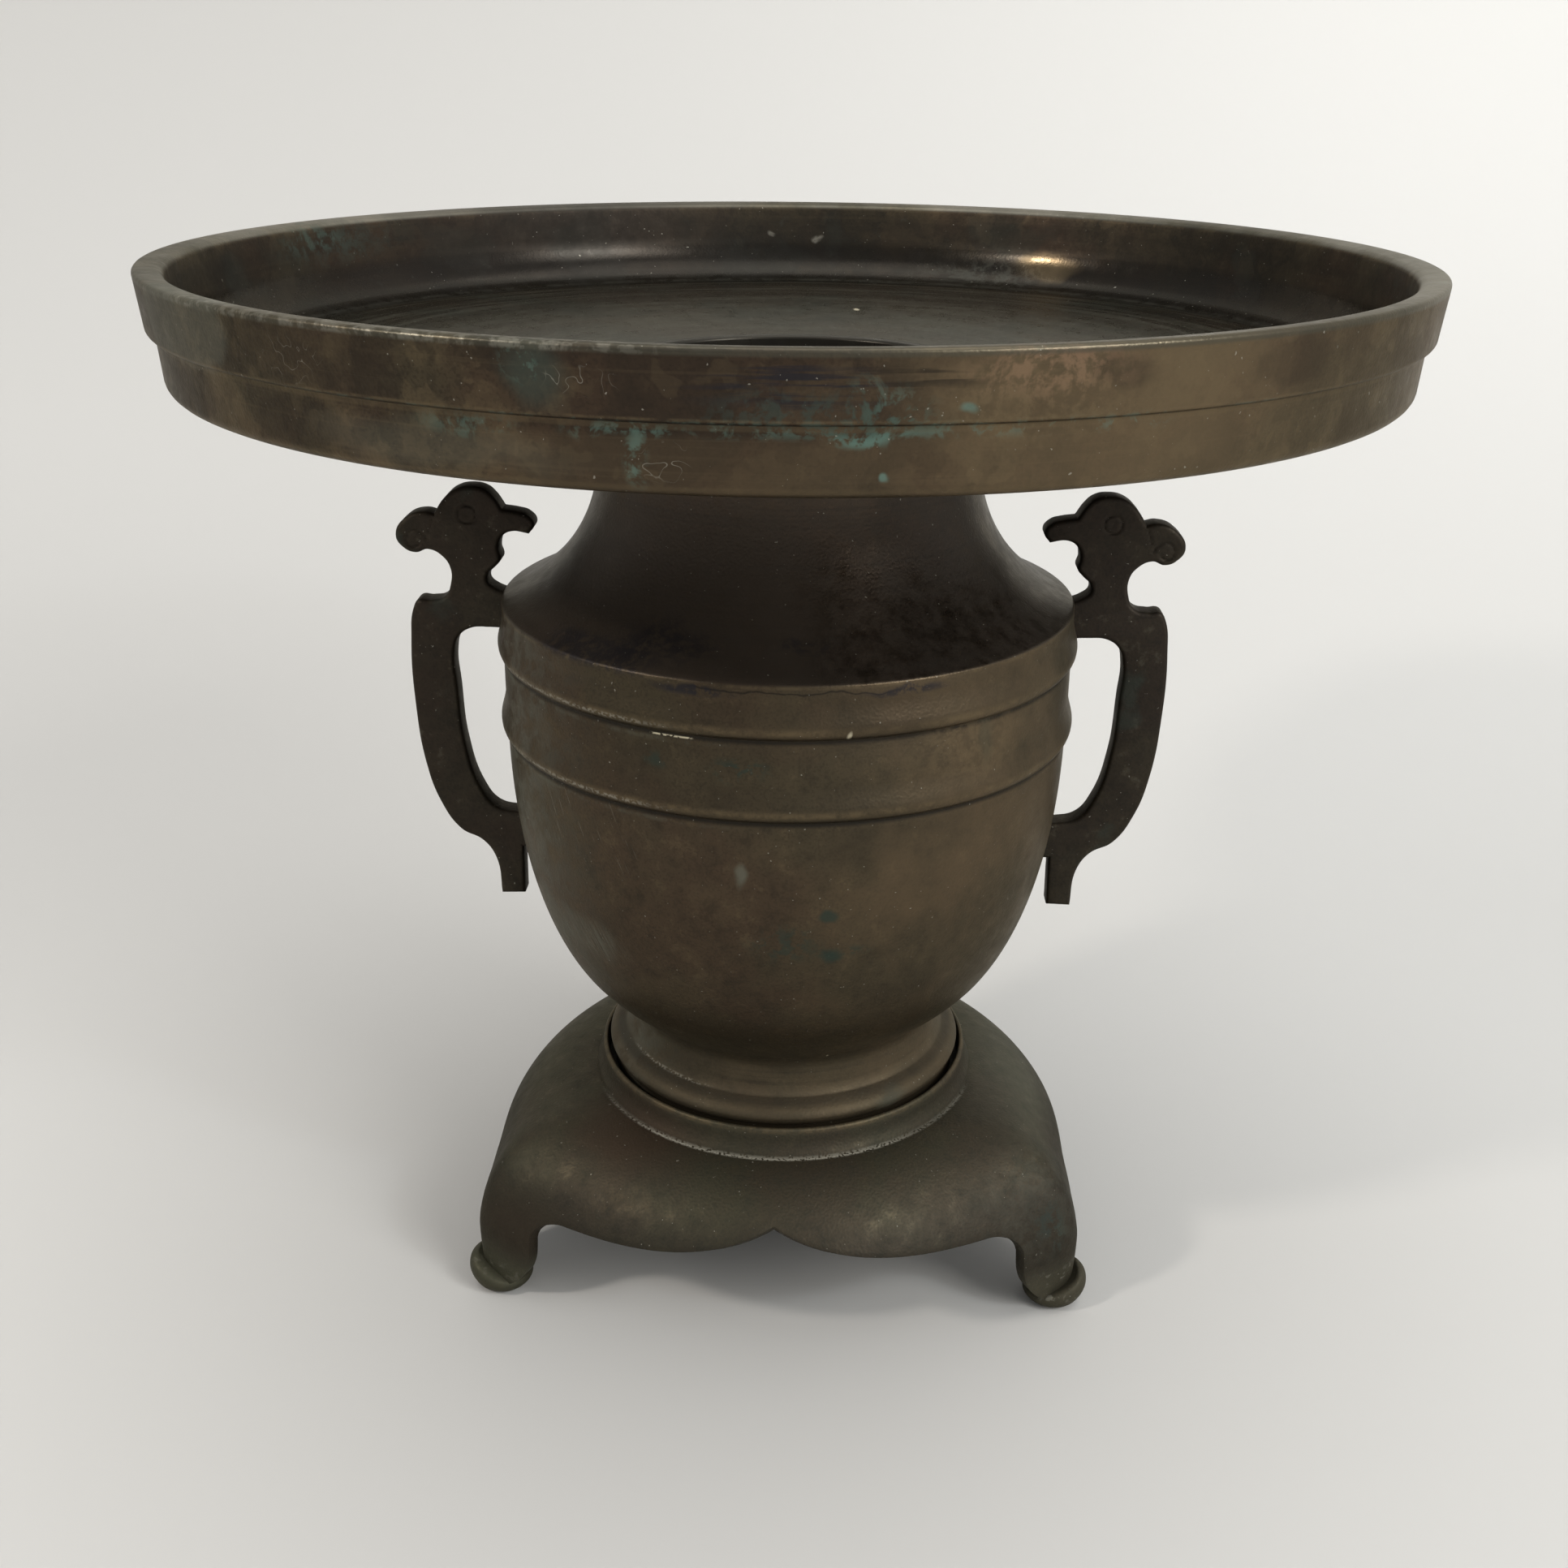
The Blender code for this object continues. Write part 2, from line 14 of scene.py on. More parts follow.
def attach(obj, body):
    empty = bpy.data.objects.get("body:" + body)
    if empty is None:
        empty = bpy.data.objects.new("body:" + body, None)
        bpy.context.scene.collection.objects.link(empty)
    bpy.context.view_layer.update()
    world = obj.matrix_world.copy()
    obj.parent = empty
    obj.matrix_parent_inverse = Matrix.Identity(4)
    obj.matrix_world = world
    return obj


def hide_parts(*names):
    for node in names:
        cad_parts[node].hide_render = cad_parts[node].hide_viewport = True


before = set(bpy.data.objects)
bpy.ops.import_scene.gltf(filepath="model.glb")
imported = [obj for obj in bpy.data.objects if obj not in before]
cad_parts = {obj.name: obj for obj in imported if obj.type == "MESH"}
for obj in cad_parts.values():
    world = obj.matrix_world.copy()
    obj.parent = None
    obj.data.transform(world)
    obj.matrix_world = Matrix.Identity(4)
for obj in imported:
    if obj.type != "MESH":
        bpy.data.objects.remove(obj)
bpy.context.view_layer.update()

SHARP_ANGLE = math.radians(38.0)
WELD = 0.000002

# Heights and radii the castings share with the solids
SEAT_HEIGHT = 0.0500
FIT_GAP = 0.0003
VASE_BASE = SEAT_HEIGHT + FIT_GAP
FOOT_TOP = VASE_BASE + 0.0110
COVE_LEVEL = FOOT_TOP + 0.0075
BELLY_SPRING = 0.0147
BELLY_BASE = COVE_LEVEL + BELLY_SPRING
BELLY_HEIGHT = 0.0697
LOWER_RING = BELLY_BASE + BELLY_HEIGHT
UPPER_RING = LOWER_RING + 0.0201
SHOULDER = UPPER_RING + 0.0129
FLARE_HEIGHT = 0.0318
WAIST = SHOULDER + FLARE_HEIGHT
NECK_TOP = WAIST + 0.0207
DISH_SEAT = NECK_TOP + FIT_GAP
RIM = 0.2710
STEP_HEIGHT = RIM - 0.0128

FOOT_RING_RADIUS = 0.0493
COVE_RADIUS = 0.0436
BELLY_BASE_RADIUS = 0.0555
BAND_RADIUS = 0.0734
BELLY_SPREAD = BAND_RADIUS - BELLY_BASE_RADIUS
BELLY_PULL = 0.49
BELLY_LIFT = 0.136 * BELLY_HEIGHT
BELLY_TOP = LOWER_RING - 0.525 * BELLY_HEIGHT
RING_SWELL = 0.0014
RING_HEIGHT = 0.0090
FOOT_RECESS = VASE_BASE + 0.0107
NECK_RADIUS = 0.0477
VASE_WALL = 0.0030
NECK_BORE = NECK_RADIUS - 0.0027
RIM_RADIUS = 0.1500
SPIGOT_RADIUS = NECK_BORE - FIT_GAP
THROAT_RADIUS = SPIGOT_RADIUS - 0.0027
SPIGOT_END = DISH_SEAT - 0.0270


# Lines and turned shapes
def bezier(points, steps):
    """Points of a cubic curve through its first and last point, pulled by the two between."""
    a, b, c, d = (Vector(point) for point in points)
    found = []
    for step in range(steps + 1):
        t = step / steps
        s = 1.0 - t
        found.append(tuple(a * s ** 3 + 3 * b * s * s * t + 3 * c * s * t * t + d * t ** 3))
    return found


def eased(corners, steps=5):
    """Line through (radius, height, easing) corners, each corner rounded by its easing length."""
    found = []
    last = len(corners) - 1
    for number, (radius, height, easing) in enumerate(corners):
        here = Vector((radius, height))
        if easing == 0.0 or number in (0, last):
            found.append(tuple(here))
            continue
        before = Vector(corners[number - 1][:2])
        after = Vector(corners[number + 1][:2])
        start = here + (before - here).normalized() * min(easing, 0.49 * (before - here).length)
        end = here + (after - here).normalized() * min(easing, 0.49 * (after - here).length)
        found += bezier([start, start.lerp(here, 0.56), end.lerp(here, 0.56), end], steps)
    return found


def in_scene(name, data):
    """Object in the scene that shows a mesh, curve, light or camera."""
    made = bpy.data.objects.new(name, data)
    bpy.context.scene.collection.objects.link(made)
    return made


def as_mesh(name, shape):
    """Mesh made from a bmesh, which is let go."""
    mesh = bpy.data.meshes.new(name)
    shape.to_mesh(mesh)
    shape.free()
    return mesh


def smooth(mesh):
    """Smooth faces that meet in sharp edges."""
    mesh.shade_smooth()
    mesh.set_sharp_from_angle(angle=SHARP_ANGLE)


def finished_mesh(made):
    """Mesh that an object's curve or modifiers give."""
    bpy.context.view_layer.update()
    return bpy.data.meshes.new_from_object(made.evaluated_get(bpy.context.evaluated_depsgraph_get()))


def new_piece(name, shape, body="root"):
    """Turn a bmesh into a smooth piece that rides on its body."""
    mesh = as_mesh(name, shape)
    smooth(mesh)
    piece = in_scene(name, mesh)
    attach(piece, body)
    return piece


def turned(profile, steps, closed=True):
    """Solid of revolution from its half section."""
    shape = bmesh.new()
    points = [shape.verts.new((radius, 0.0, height)) for radius, height in profile]
    edges = [shape.edges.new(pair) for pair in zip(points, points[1:])]
    if closed:
        edges.append(shape.edges.new((points[-1], points[0])))
    bmesh.ops.spin(
        shape,
        geom=points + edges,
        axis=(0.0, 0.0, 1.0),
        angle=math.tau,
        steps=steps,
        use_merge=True,
    )
    bmesh.ops.remove_doubles(shape, verts=shape.verts, dist=WELD)
    bmesh.ops.recalc_face_normals(shape, faces=shape.faces)
    return shape


# Dish
def dish_section():
    """Closed half section of the dish, from the spigot's inside over the rim and back."""
    throat_edge = DISH_SEAT + 0.0047
    floor_at_wall = DISH_SEAT + 0.0100
    inner_rim = RIM_RADIUS - 0.0066
    inner_foot = RIM_RADIUS - 0.0099
    band_foot = RIM_RADIUS - 0.0014
    lower_top = band_foot - 0.0019
    underside = floor_at_wall - 0.0040
    corners = [
        (SPIGOT_RADIUS, SPIGOT_END, 0.0),
        (THROAT_RADIUS + 0.0004, SPIGOT_END, 0.0004),
        (THROAT_RADIUS, throat_edge + 0.0011, 0.0008),
        (THROAT_RADIUS + 0.0030, throat_edge + 0.0014, 0.0010),
        (THROAT_RADIUS + 0.0044, throat_edge + 0.0007, 0.0008),
        (inner_foot - 0.0210, floor_at_wall - 0.0009, 0.0040),
        (inner_foot, floor_at_wall, 0.0095),
        (inner_rim, RIM - 0.0008, 0.0014),
        (RIM_RADIUS - 0.0034, RIM, 0.0030),
        (RIM_RADIUS, RIM, 0.0010),
        (band_foot, STEP_HEIGHT, 0.0008),
        (lower_top, STEP_HEIGHT - 0.0002, 0.0005),
        (lower_top - 0.0010, underside, 0.0027),
        (lower_top - 0.0300, underside - 0.0001, 0.0080),
        (SPIGOT_RADIUS + 0.0075, DISH_SEAT, 0.0030),
        (SPIGOT_RADIUS, DISH_SEAT, 0.0),
    ]
    return eased(corners)


def build_dish():
    dish = new_piece("dish_casting", turned(dish_section(), 240))
    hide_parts("dish")
    return dish


# Vase
# Section of a bead as shares of its swell and height
BEAD_SHARES = (
    (0.00, 1.00),
    (0.10, 0.90),
    (0.27, 0.77),
    (0.52, 0.62),
    (0.82, 0.46),
    (0.97, 0.36),
    (1.00, 0.28),
    (0.94, 0.19),
    (0.76, 0.11),
    (0.46, 0.05),
    (0.05, 0.015),
)


def ring_bead(crease):
    """Swelling bead above a fine crease, listed downwards."""
    foot = crease - 0.0005
    points = [(BAND_RADIUS + out * RING_SWELL, crease + up * RING_HEIGHT) for out, up in BEAD_SHARES]
    groove = BAND_RADIUS - 0.16 * RING_SWELL
    points += [(groove, foot + 0.0002), (groove, foot - 0.0003)]
    points.append((BAND_RADIUS - 0.02 * RING_SWELL, foot - 0.0008))
    return points


def vase_outside():
    """Outer half section of the vase, from the neck's top down to the foot ring's sole."""
    points = [(NECK_RADIUS + 0.0014, NECK_TOP), (NECK_RADIUS + 0.0009, NECK_TOP - 0.006)]
    points += bezier(
        [
            (NECK_RADIUS + 0.0002, WAIST + 0.006),
            (NECK_RADIUS - 0.0002, WAIST - 0.30 * FLARE_HEIGHT),
            (NECK_RADIUS + 0.35 * (BAND_RADIUS - NECK_RADIUS), SHOULDER + 0.21 * FLARE_HEIGHT),
            (BAND_RADIUS - 0.0007, SHOULDER + 0.0004),
        ],
        34,
    )
    points += [(BAND_RADIUS - 0.0002, SHOULDER + 0.0001), (BAND_RADIUS, SHOULDER - 0.0004)]
    points += ring_bead(UPPER_RING)
    points += ring_bead(LOWER_RING)
    points += bezier(
        [
            (BAND_RADIUS - 0.0002, LOWER_RING - 0.0024),
            (BAND_RADIUS - 0.3 * RING_SWELL, BELLY_TOP),
            (BELLY_BASE_RADIUS + BELLY_PULL * BELLY_SPREAD, BELLY_BASE + BELLY_LIFT),
            (BELLY_BASE_RADIUS, BELLY_BASE),
        ],
        48,
    )
    points += bezier(
        [
            (BELLY_BASE_RADIUS, BELLY_BASE),
            (COVE_RADIUS + 0.45 * (BELLY_BASE_RADIUS - COVE_RADIUS), COVE_LEVEL + 0.45 * BELLY_SPRING),
            (COVE_RADIUS, COVE_LEVEL + 0.40 * BELLY_SPRING),
            (COVE_RADIUS, COVE_LEVEL),
        ],
        16,
    )[1:]
    points += eased(
        [
            (COVE_RADIUS, COVE_LEVEL - 0.0006, 0.0),
            (COVE_RADIUS + 0.0002, FOOT_TOP + 0.0012, 0.0030),
            (FOOT_RING_RADIUS - 0.0030, FOOT_TOP, 0.0026),
            (FOOT_RING_RADIUS + 0.0001, FOOT_TOP - 0.0024, 0.0024),
            (FOOT_RING_RADIUS - 0.0001, VASE_BASE + 0.0066, 0.0022),
            (FOOT_RING_RADIUS - 0.0014, VASE_BASE + 0.0048, 0.0012),
            (FOOT_RING_RADIUS - 0.0014, VASE_BASE, 0.0),
        ],
        6,
    )[1:]
    return points


def vase_inside():
    """Inner half section, from the middle of the floor up to the mouth of the neck."""
    floor = FOOT_RECESS + 0.0035
    points = [(0.0, floor), (COVE_RADIUS - 1.6 * VASE_WALL, floor), (COVE_RADIUS - VASE_WALL, COVE_LEVEL)]
    belly_radius = BELLY_BASE_RADIUS - VASE_WALL
    points += bezier(
        [
            (belly_radius, BELLY_BASE + 0.3 * VASE_WALL),
            (belly_radius + BELLY_PULL * BELLY_SPREAD, BELLY_BASE + BELLY_LIFT + 0.0015),
            (BAND_RADIUS - VASE_WALL, BELLY_TOP),
            (BAND_RADIUS - VASE_WALL, LOWER_RING),
        ],
        16,
    )
    points += bezier(
        [
            (BAND_RADIUS - VASE_WALL, SHOULDER - VASE_WALL),
            (NECK_BORE + 0.35 * (BAND_RADIUS - NECK_RADIUS), SHOULDER + 0.21 * FLARE_HEIGHT - VASE_WALL),
            (NECK_BORE, WAIST - 0.44 * FLARE_HEIGHT - VASE_WALL),
            (NECK_BORE, WAIST - VASE_WALL),
        ],
        16,
    )
    points.append((NECK_BORE, NECK_TOP))
    return points


def build_vase():
    recess = FOOT_RING_RADIUS - 0.0078
    sole = [(recess + 0.0004, VASE_BASE), (recess, VASE_BASE + 0.0006)]
    sole += [(recess, FOOT_RECESS), (0.0, FOOT_RECESS)]
    section = vase_inside() + vase_outside() + sole
    vase = new_piece("vase_casting", turned(section, 256, closed=False))
    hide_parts("vase_body")
    return vase


# Handles
# Outline of a handle in millimetres from the shoulder's edge: outwards, upwards, True at a corner
CHIN = [
    (-16.0, -0.6, True),
    (-0.4, -0.6, True),
    (2.0, 0.4),
    (4.0, 2.2),
    (3.7, 4.6, True),
    (1.6, 6.4),
    (0.3, 8.2),
    (0.8, 11.0),
]
BEAK = [
    (-0.2, 14.0),
    (-2.6, 15.4),
    (-7.2, 14.9, True),
    (-8.7, 17.4),
    (-7.0, 19.8),
    (-4.2, 20.7),
    (-0.7, 21.2, True),
]
CROWN = [
    (1.4, 24.4),
    (3.6, 26.3),
    (7.2, 27.0),
    (11.0, 26.2),
    (14.2, 23.6),
    (16.8, 19.8, True),
]
CREST_CURL = [
    (19.6, 20.3),
    (24.0, 18.8),
    (27.1, 14.0),
    (25.2, 10.7),
    (22.2, 9.5),
    (19.0, 10.4),
]
NAPE = [
    (15.4, 8.6),
    (13.6, 5.6),
    (13.7, 1.4),
    (15.4, -2.0),
]
SHANK = [
    (19.4, -3.0),
    (22.4, -3.0),
    (23.7, -4.8),
    (25.1, -13.6),
    (25.2, -32.6),
    (23.6, -48.4),
    (20.4, -59.6),
    (15.2, -67.9),
]
TAIL = [
    (9.3, -71.3),
    (6.1, -76.4),
    (5.0, -87.0, True),
    (-1.5, -86.8, True),
    (-1.7, -72.8, True),
    (-22.0, -72.8, True),
]
LOOP = [
    (-22.0, -62.4, True),
    (0.0, -62.4),
    (5.2, -61.0),
    (8.9, -56.0),
    (12.5, -43.0),
    (13.6, -27.0),
    (13.9, -17.4),
    (12.6, -13.0),
    (9.4, -10.6),
    (4.0, -10.2),
    (0.0, -10.4, True),
    (-16.0, -10.4, True),
]
HANDLE_THICKNESS = 0.0072
HANDLE_EASING = 0.0011
EYE = (8.3, 19.9)
CURL_EYE = (22.0, 12.8)


def engraving(outwards, upwards):
    """Depth of the lines cut into a handle's faces at a point, both in millimetres."""
    depth = 0.0
    from_eye = math.hypot(outwards - EYE[0], upwards - EYE[1])
    depth += 0.34 * math.exp(-((from_eye - 2.3) / 0.34) ** 2)
    depth += 0.22 * max(0.0, 1.0 - from_eye / 1.5)
    across, up = outwards - CURL_EYE[0], upwards - CURL_EYE[1]
    from_curl = math.hypot(across, up)
    turn = (math.atan2(up, across) + math.pi) / math.tau
    winding = 1.2 + 1.9 * turn
    if from_curl < 3.6:
        depth += 0.34 * math.exp(-((from_curl - winding) / 0.36) ** 2)
    along = max(0.0, min(1.0, (upwards - 15.0) / 4.5))
    seam = 16.9 + 1.3 * (1.0 - along)
    if 15.0 < upwards < 20.2:
        depth += 0.26 * math.exp(-((outwards - seam) / 0.33) ** 2)
    return depth


def handle_bar():
    """Flat bar of the right handle with eased edges and the engraved eye and curl."""
    curve = bpy.data.curves.new("handle_line", "CURVE")
    curve.dimensions = "2D"
    curve.fill_mode = "BOTH"
    curve.bevel_depth = HANDLE_EASING
    curve.bevel_resolution = 2
    curve.offset = -HANDLE_EASING
    curve.extrude = 0.5 * HANDLE_THICKNESS - HANDLE_EASING
    spline = curve.splines.new("BEZIER")
    spline.resolution_u = 9
    spline.use_cyclic_u = True
    outline = CHIN + BEAK + CROWN + CREST_CURL + NAPE + SHANK + TAIL + LOOP
    spline.bezier_points.add(len(outline) - 1)
    for point, (outwards, upwards, *corner) in zip(spline.bezier_points, outline):
        kind = "VECTOR" if corner else "AUTO"
        point.co = (BAND_RADIUS + outwards * 0.001, SHOULDER + upwards * 0.001, 0.0)
        point.handle_left_type = kind
        point.handle_right_type = kind
    line = in_scene("handle_line", curve)
    shape = bmesh.new()
    shape.from_mesh(finished_mesh(line))
    bpy.data.objects.remove(line)
    bmesh.ops.remove_doubles(shape, verts=shape.verts, dist=WELD)
    bmesh.ops.rotate(shape, verts=shape.verts, matrix=Matrix.Rotation(math.radians(90.0), 3, "X"))
    for across in range(1, 62):
        cut_plane(shape, (BAND_RADIUS + (-1.0 + 0.48 * across) * 0.001, 0.0, 0.0), (1.0, 0.0, 0.0))
    for level in range(1, 46):
        cut_plane(shape, (0.0, 0.0, SHOULDER + (4.0 + 0.48 * level) * 0.001), (0.0, 0.0, 1.0))
    bmesh.ops.recalc_face_normals(shape, faces=shape.faces)
    face_level = 0.5 * HANDLE_THICKNESS - 0.00001
    for vert in shape.verts:
        if abs(vert.co.y) > face_level:
            depth = engraving((vert.co.x - BAND_RADIUS) * 1000.0, (vert.co.z - SHOULDER) * 1000.0)
            vert.co.y -= math.copysign(depth * 0.001, vert.co.y)
    return shape


def cut_plane(shape, point, normal):
    """Divide every face that crosses a plane, near the bird's head only."""
    level = SHOULDER - 0.002
    flat = [face for face in shape.faces if abs(face.normal.y) > 0.99]
    near = [face for face in flat if face.calc_center_median().z > level]
    edges = {edge for face in near for edge in face.edges}
    verts = {vert for face in near for vert in face.verts}
    bmesh.ops.bisect_plane(
        shape,
        geom=list(verts) + list(edges) + near,
        plane_co=point,
        plane_no=normal,
        dist=0.000001,
    )


def build_handles():
    """Both handles, their roots cut off inside the vase's wall."""
    wall = [(radius - 0.0012, height) for radius, height in vase_outside()]
    core_shape = turned([(0.0, NECK_TOP)] + wall + [(0.0, VASE_BASE)], 192, closed=False)
    core = in_scene("vase_core", as_mesh("vase_core", core_shape))
    made = []
    bar = handle_bar()
    for side, turn in (("right", 0.0), ("left", math.pi)):
        shape = bar.copy()
        bmesh.ops.rotate(shape, verts=shape.verts, matrix=Matrix.Rotation(turn, 3, "Z"))
        handle = new_piece("handle_bar_" + side, shape)
        cut = handle.modifiers.new("Root", "BOOLEAN")
        cut.operation = "DIFFERENCE"
        cut.solver = "EXACT"
        cut.object = core
        settle(handle)
        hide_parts("handle_" + side)
        made.append(handle)
    bar.free()
    bpy.data.objects.remove(core)
    return made


def settle(piece):
    """Keep the result of a piece's modifiers as its own mesh."""
    mesh = finished_mesh(piece)
    piece.modifiers.clear()
    piece.data = mesh
    smooth(mesh)


# Stand
SEAT_BORE_RADIUS = 0.0380
COLLAR_BORE = FOOT_RING_RADIUS + 0.0008
COLLAR_TOP_RADIUS = COLLAR_BORE + 0.0012
COLLAR_FOOT_RADIUS = COLLAR_TOP_RADIUS + 0.0023
COLLAR_FOOT = SEAT_HEIGHT - 0.0014
APRON_REACH = 0.0810
APRON_KNEE_DROP = 0.0266
APRON_PULLS = ((0.42, 0.02), (0.92, 0.416))
LEG_REACH = 0.0930
LEG_KNEE_DROP = 0.0286
LEG_PULLS = ((0.46, 0.01), (0.92, 0.19))
LEG_BLEND = math.radians(10.0)
LEG_CREST = math.radians(3.0)
LEG_HALF_WIDTH = 0.0168
ANKLE_HALF_WIDTH = 0.0084
ANKLE_TAPER = 3.0
ANKLE_INSET = 0.0016
LEG_END_HEIGHT = 0.0040
ARCH_CORNER_WIDTH = 0.0117
ARCH_CORNER_DROP = 0.0079
LOBE_DROP = 0.0187
CUSP_RISE = 0.0106
CUSP_PULLS = ((0.20, 0.55), (0.40, 0.20))
LEG_ANGLE = LEG_HALF_WIDTH / LEG_REACH
SHEET_THICKNESS = 0.0040
TOE_REACH = LEG_REACH - 0.0051
TOE_HOLLOWS = (0.0, 0.0, 0.0016)


def falling_curve(reach, drop, pulls):
    """Section of the dome from the collar's foot out and down to the reach."""
    span = reach - COLLAR_FOOT_RADIUS
    middle = [(COLLAR_FOOT_RADIUS + out * span, COLLAR_FOOT - down * drop) for out, down in pulls]
    return bezier([(COLLAR_FOOT_RADIUS, COLLAR_FOOT)] + middle + [(reach, COLLAR_FOOT - drop)], 120)


APRON_CURVE = falling_curve(APRON_REACH, APRON_KNEE_DROP, APRON_PULLS)
LEG_CURVE = falling_curve(LEG_REACH, LEG_KNEE_DROP, LEG_PULLS)


def radius_at(curve, height):
    for (first, high), (second, low) in zip(curve, curve[1:]):
        if low <= height <= high:
            return first + (second - first) * (high - height) / max(high - low, 1e-9)
    return curve[-1][0]


def dome_radius(from_leg, height):
    """Radius of the stand's outside at an angle from the nearest leg's middle."""
    apron = radius_at(APRON_CURVE, height)
    leg = radius_at(LEG_CURVE, height)
    knee = COLLAR_FOOT - LEG_KNEE_DROP
    if height < knee:
        leg -= ANKLE_INSET * ((knee - height) / knee) ** 2
    share = math.exp((LEG_CREST - math.hypot(from_leg, LEG_CREST)) / LEG_BLEND)
    return apron + (leg - apron) * share


def apron_edge(share):
    """Height of the apron's lower edge, from 0 at the cusp to 1 at the leg's arch."""
    lobe = COLLAR_FOOT - LOBE_DROP
    pulls = [(along, lobe + up * CUSP_RISE) for along, up in CUSP_PULLS]
    points = bezier([(0.0, lobe + CUSP_RISE)] + pulls + [(1.0, lobe)], 120)
    for (first, high), (second, low) in zip(points, points[1:]):
        if first <= share <= second:
            return high + (low - high) * (share - first) / (second - first)
    return lobe


def stand_columns():
    """Angle from the leg's middle and lower edge of each column of a sixth of the stand."""
    sixth = math.pi / 3.0
    lobe = COLLAR_FOOT - LOBE_DROP
    arch_angle = LEG_ANGLE + ARCH_CORNER_WIDTH / LEG_REACH
    columns = [(LEG_ANGLE * step / 9.0, lobe - ARCH_CORNER_DROP) for step in range(9)]
    for step in range(13):
        turn = math.radians(90.0 * step / 12.0)
        angle = LEG_ANGLE + (arch_angle - LEG_ANGLE) * (1.0 - math.cos(turn))
        columns.append((angle, lobe - ARCH_CORNER_DROP * (1.0 - math.sin(turn))))
    for step in range(1, 27):
        share = (1.0 - step / 26.0) ** 1.15
        columns.append((sixth - (sixth - arch_angle) * share, apron_edge(share)))
    return columns


def stand_sheet():
    """Outer skin of dome, apron and legs, bridged column by column round the stand."""
    half = stand_columns()
    whole = [(-angle, low) for angle, low in reversed(half[1:])] + half[:-1]
    taper = 1.0 - ANKLE_HALF_WIDTH / LEG_HALF_WIDTH
    shape = bmesh.new()
    columns = []
    for leg in range(3):
        middle = math.radians(90.0 + 120.0 * leg)
        for angle, low in whole:
            start = 0.5 * (COLLAR_BORE + COLLAR_FOOT_RADIUS)
            places = [(start, middle + angle, COLLAR_FOOT)]
            for row in range(1, 23):
                height = COLLAR_FOOT + (low - COLLAR_FOOT) * (row / 22.0) ** 2.0
                places.append((dome_radius(abs(angle), height), middle + angle, height))
            if abs(angle) <= LEG_ANGLE + 1e-9:
                for row in range(1, 15):
                    share = row / 14.0
                    height = low + (LEG_END_HEIGHT - low) * share
                    narrowed = angle * (1.0 - taper * share ** ANKLE_TAPER)
                    places.append((dome_radius(abs(narrowed), height), middle + narrowed, height))
            columns.append(
                [shape.verts.new((r * math.cos(turn), r * math.sin(turn), h)) for r, turn, h in places]
            )
    for first, second in zip(columns, columns[1:] + columns[:1]):
        for index in range(min(len(first), len(second)) - 1):
            shape.faces.new((first[index], first[index + 1], second[index + 1], second[index]))
    return shape


def seat_ring():
    """Seat under the vase with the collar round it."""
    corners = [
        (SEAT_BORE_RADIUS, SEAT_HEIGHT - 0.0030, 0.0),
        (SEAT_BORE_RADIUS, SEAT_HEIGHT, 0.0010),
        (COLLAR_BORE, SEAT_HEIGHT, 0.0005),
        (COLLAR_BORE, SEAT_HEIGHT + 0.0062, 0.0006),
        (COLLAR_TOP_RADIUS, SEAT_HEIGHT + 0.0060, 0.0007),
        (COLLAR_TOP_RADIUS + 0.0005, SEAT_HEIGHT + 0.0014, 0.0016),
        (COLLAR_FOOT_RADIUS, COLLAR_FOOT, 0.0012),
        (COLLAR_FOOT_RADIUS - 0.0004, SEAT_HEIGHT - 0.0060, 0.0010),
        (SEAT_BORE_RADIUS, SEAT_HEIGHT - 0.0060, 0.0010),
        (SEAT_BORE_RADIUS, SEAT_HEIGHT - 0.0030, 0.0),
    ]
    return turned(eased(corners)[:-1], 216)


def toe(direction, hollow):
    """Rolled toe: a round pad, highest at its outer side, closed or with a hollow behind its rim."""
    corners = [
        (0.0, 0.0, 0.0),
        (0.0056, 0.0, 0.0022),
        (0.0084, 0.0036, 0.0030),
        (0.0087, 0.0080, 0.0026),
        (0.0070, 0.0098, 0.0016),
        (0.0048, 0.0103 - hollow, 0.0012),
        (0.0, 0.0106 - hollow, 0.0),
    ]
    shape = turned(eased(corners, 6), 72, closed=False)
    outwards, aside = math.cos(direction), math.sin(direction)
    if abs(outwards) < 0.1:
        outwards, aside = 1.0, 0.0
    for vert in shape.verts:
        side = math.copysign(1.0, outwards) * (vert.co.x * outwards - vert.co.y * aside)
        tilt = min(1.0, max(0.0, 0.5 + side / 0.0120))
        vert.co.z *= 0.50 + 0.50 * tilt ** 1.8
    bmesh.ops.translate(shape, verts=shape.verts, vec=(TOE_REACH, 0.0, 0.0))
    bmesh.ops.rotate(shape, verts=shape.verts, matrix=Matrix.Rotation(direction, 3, "Z"))
    return shape


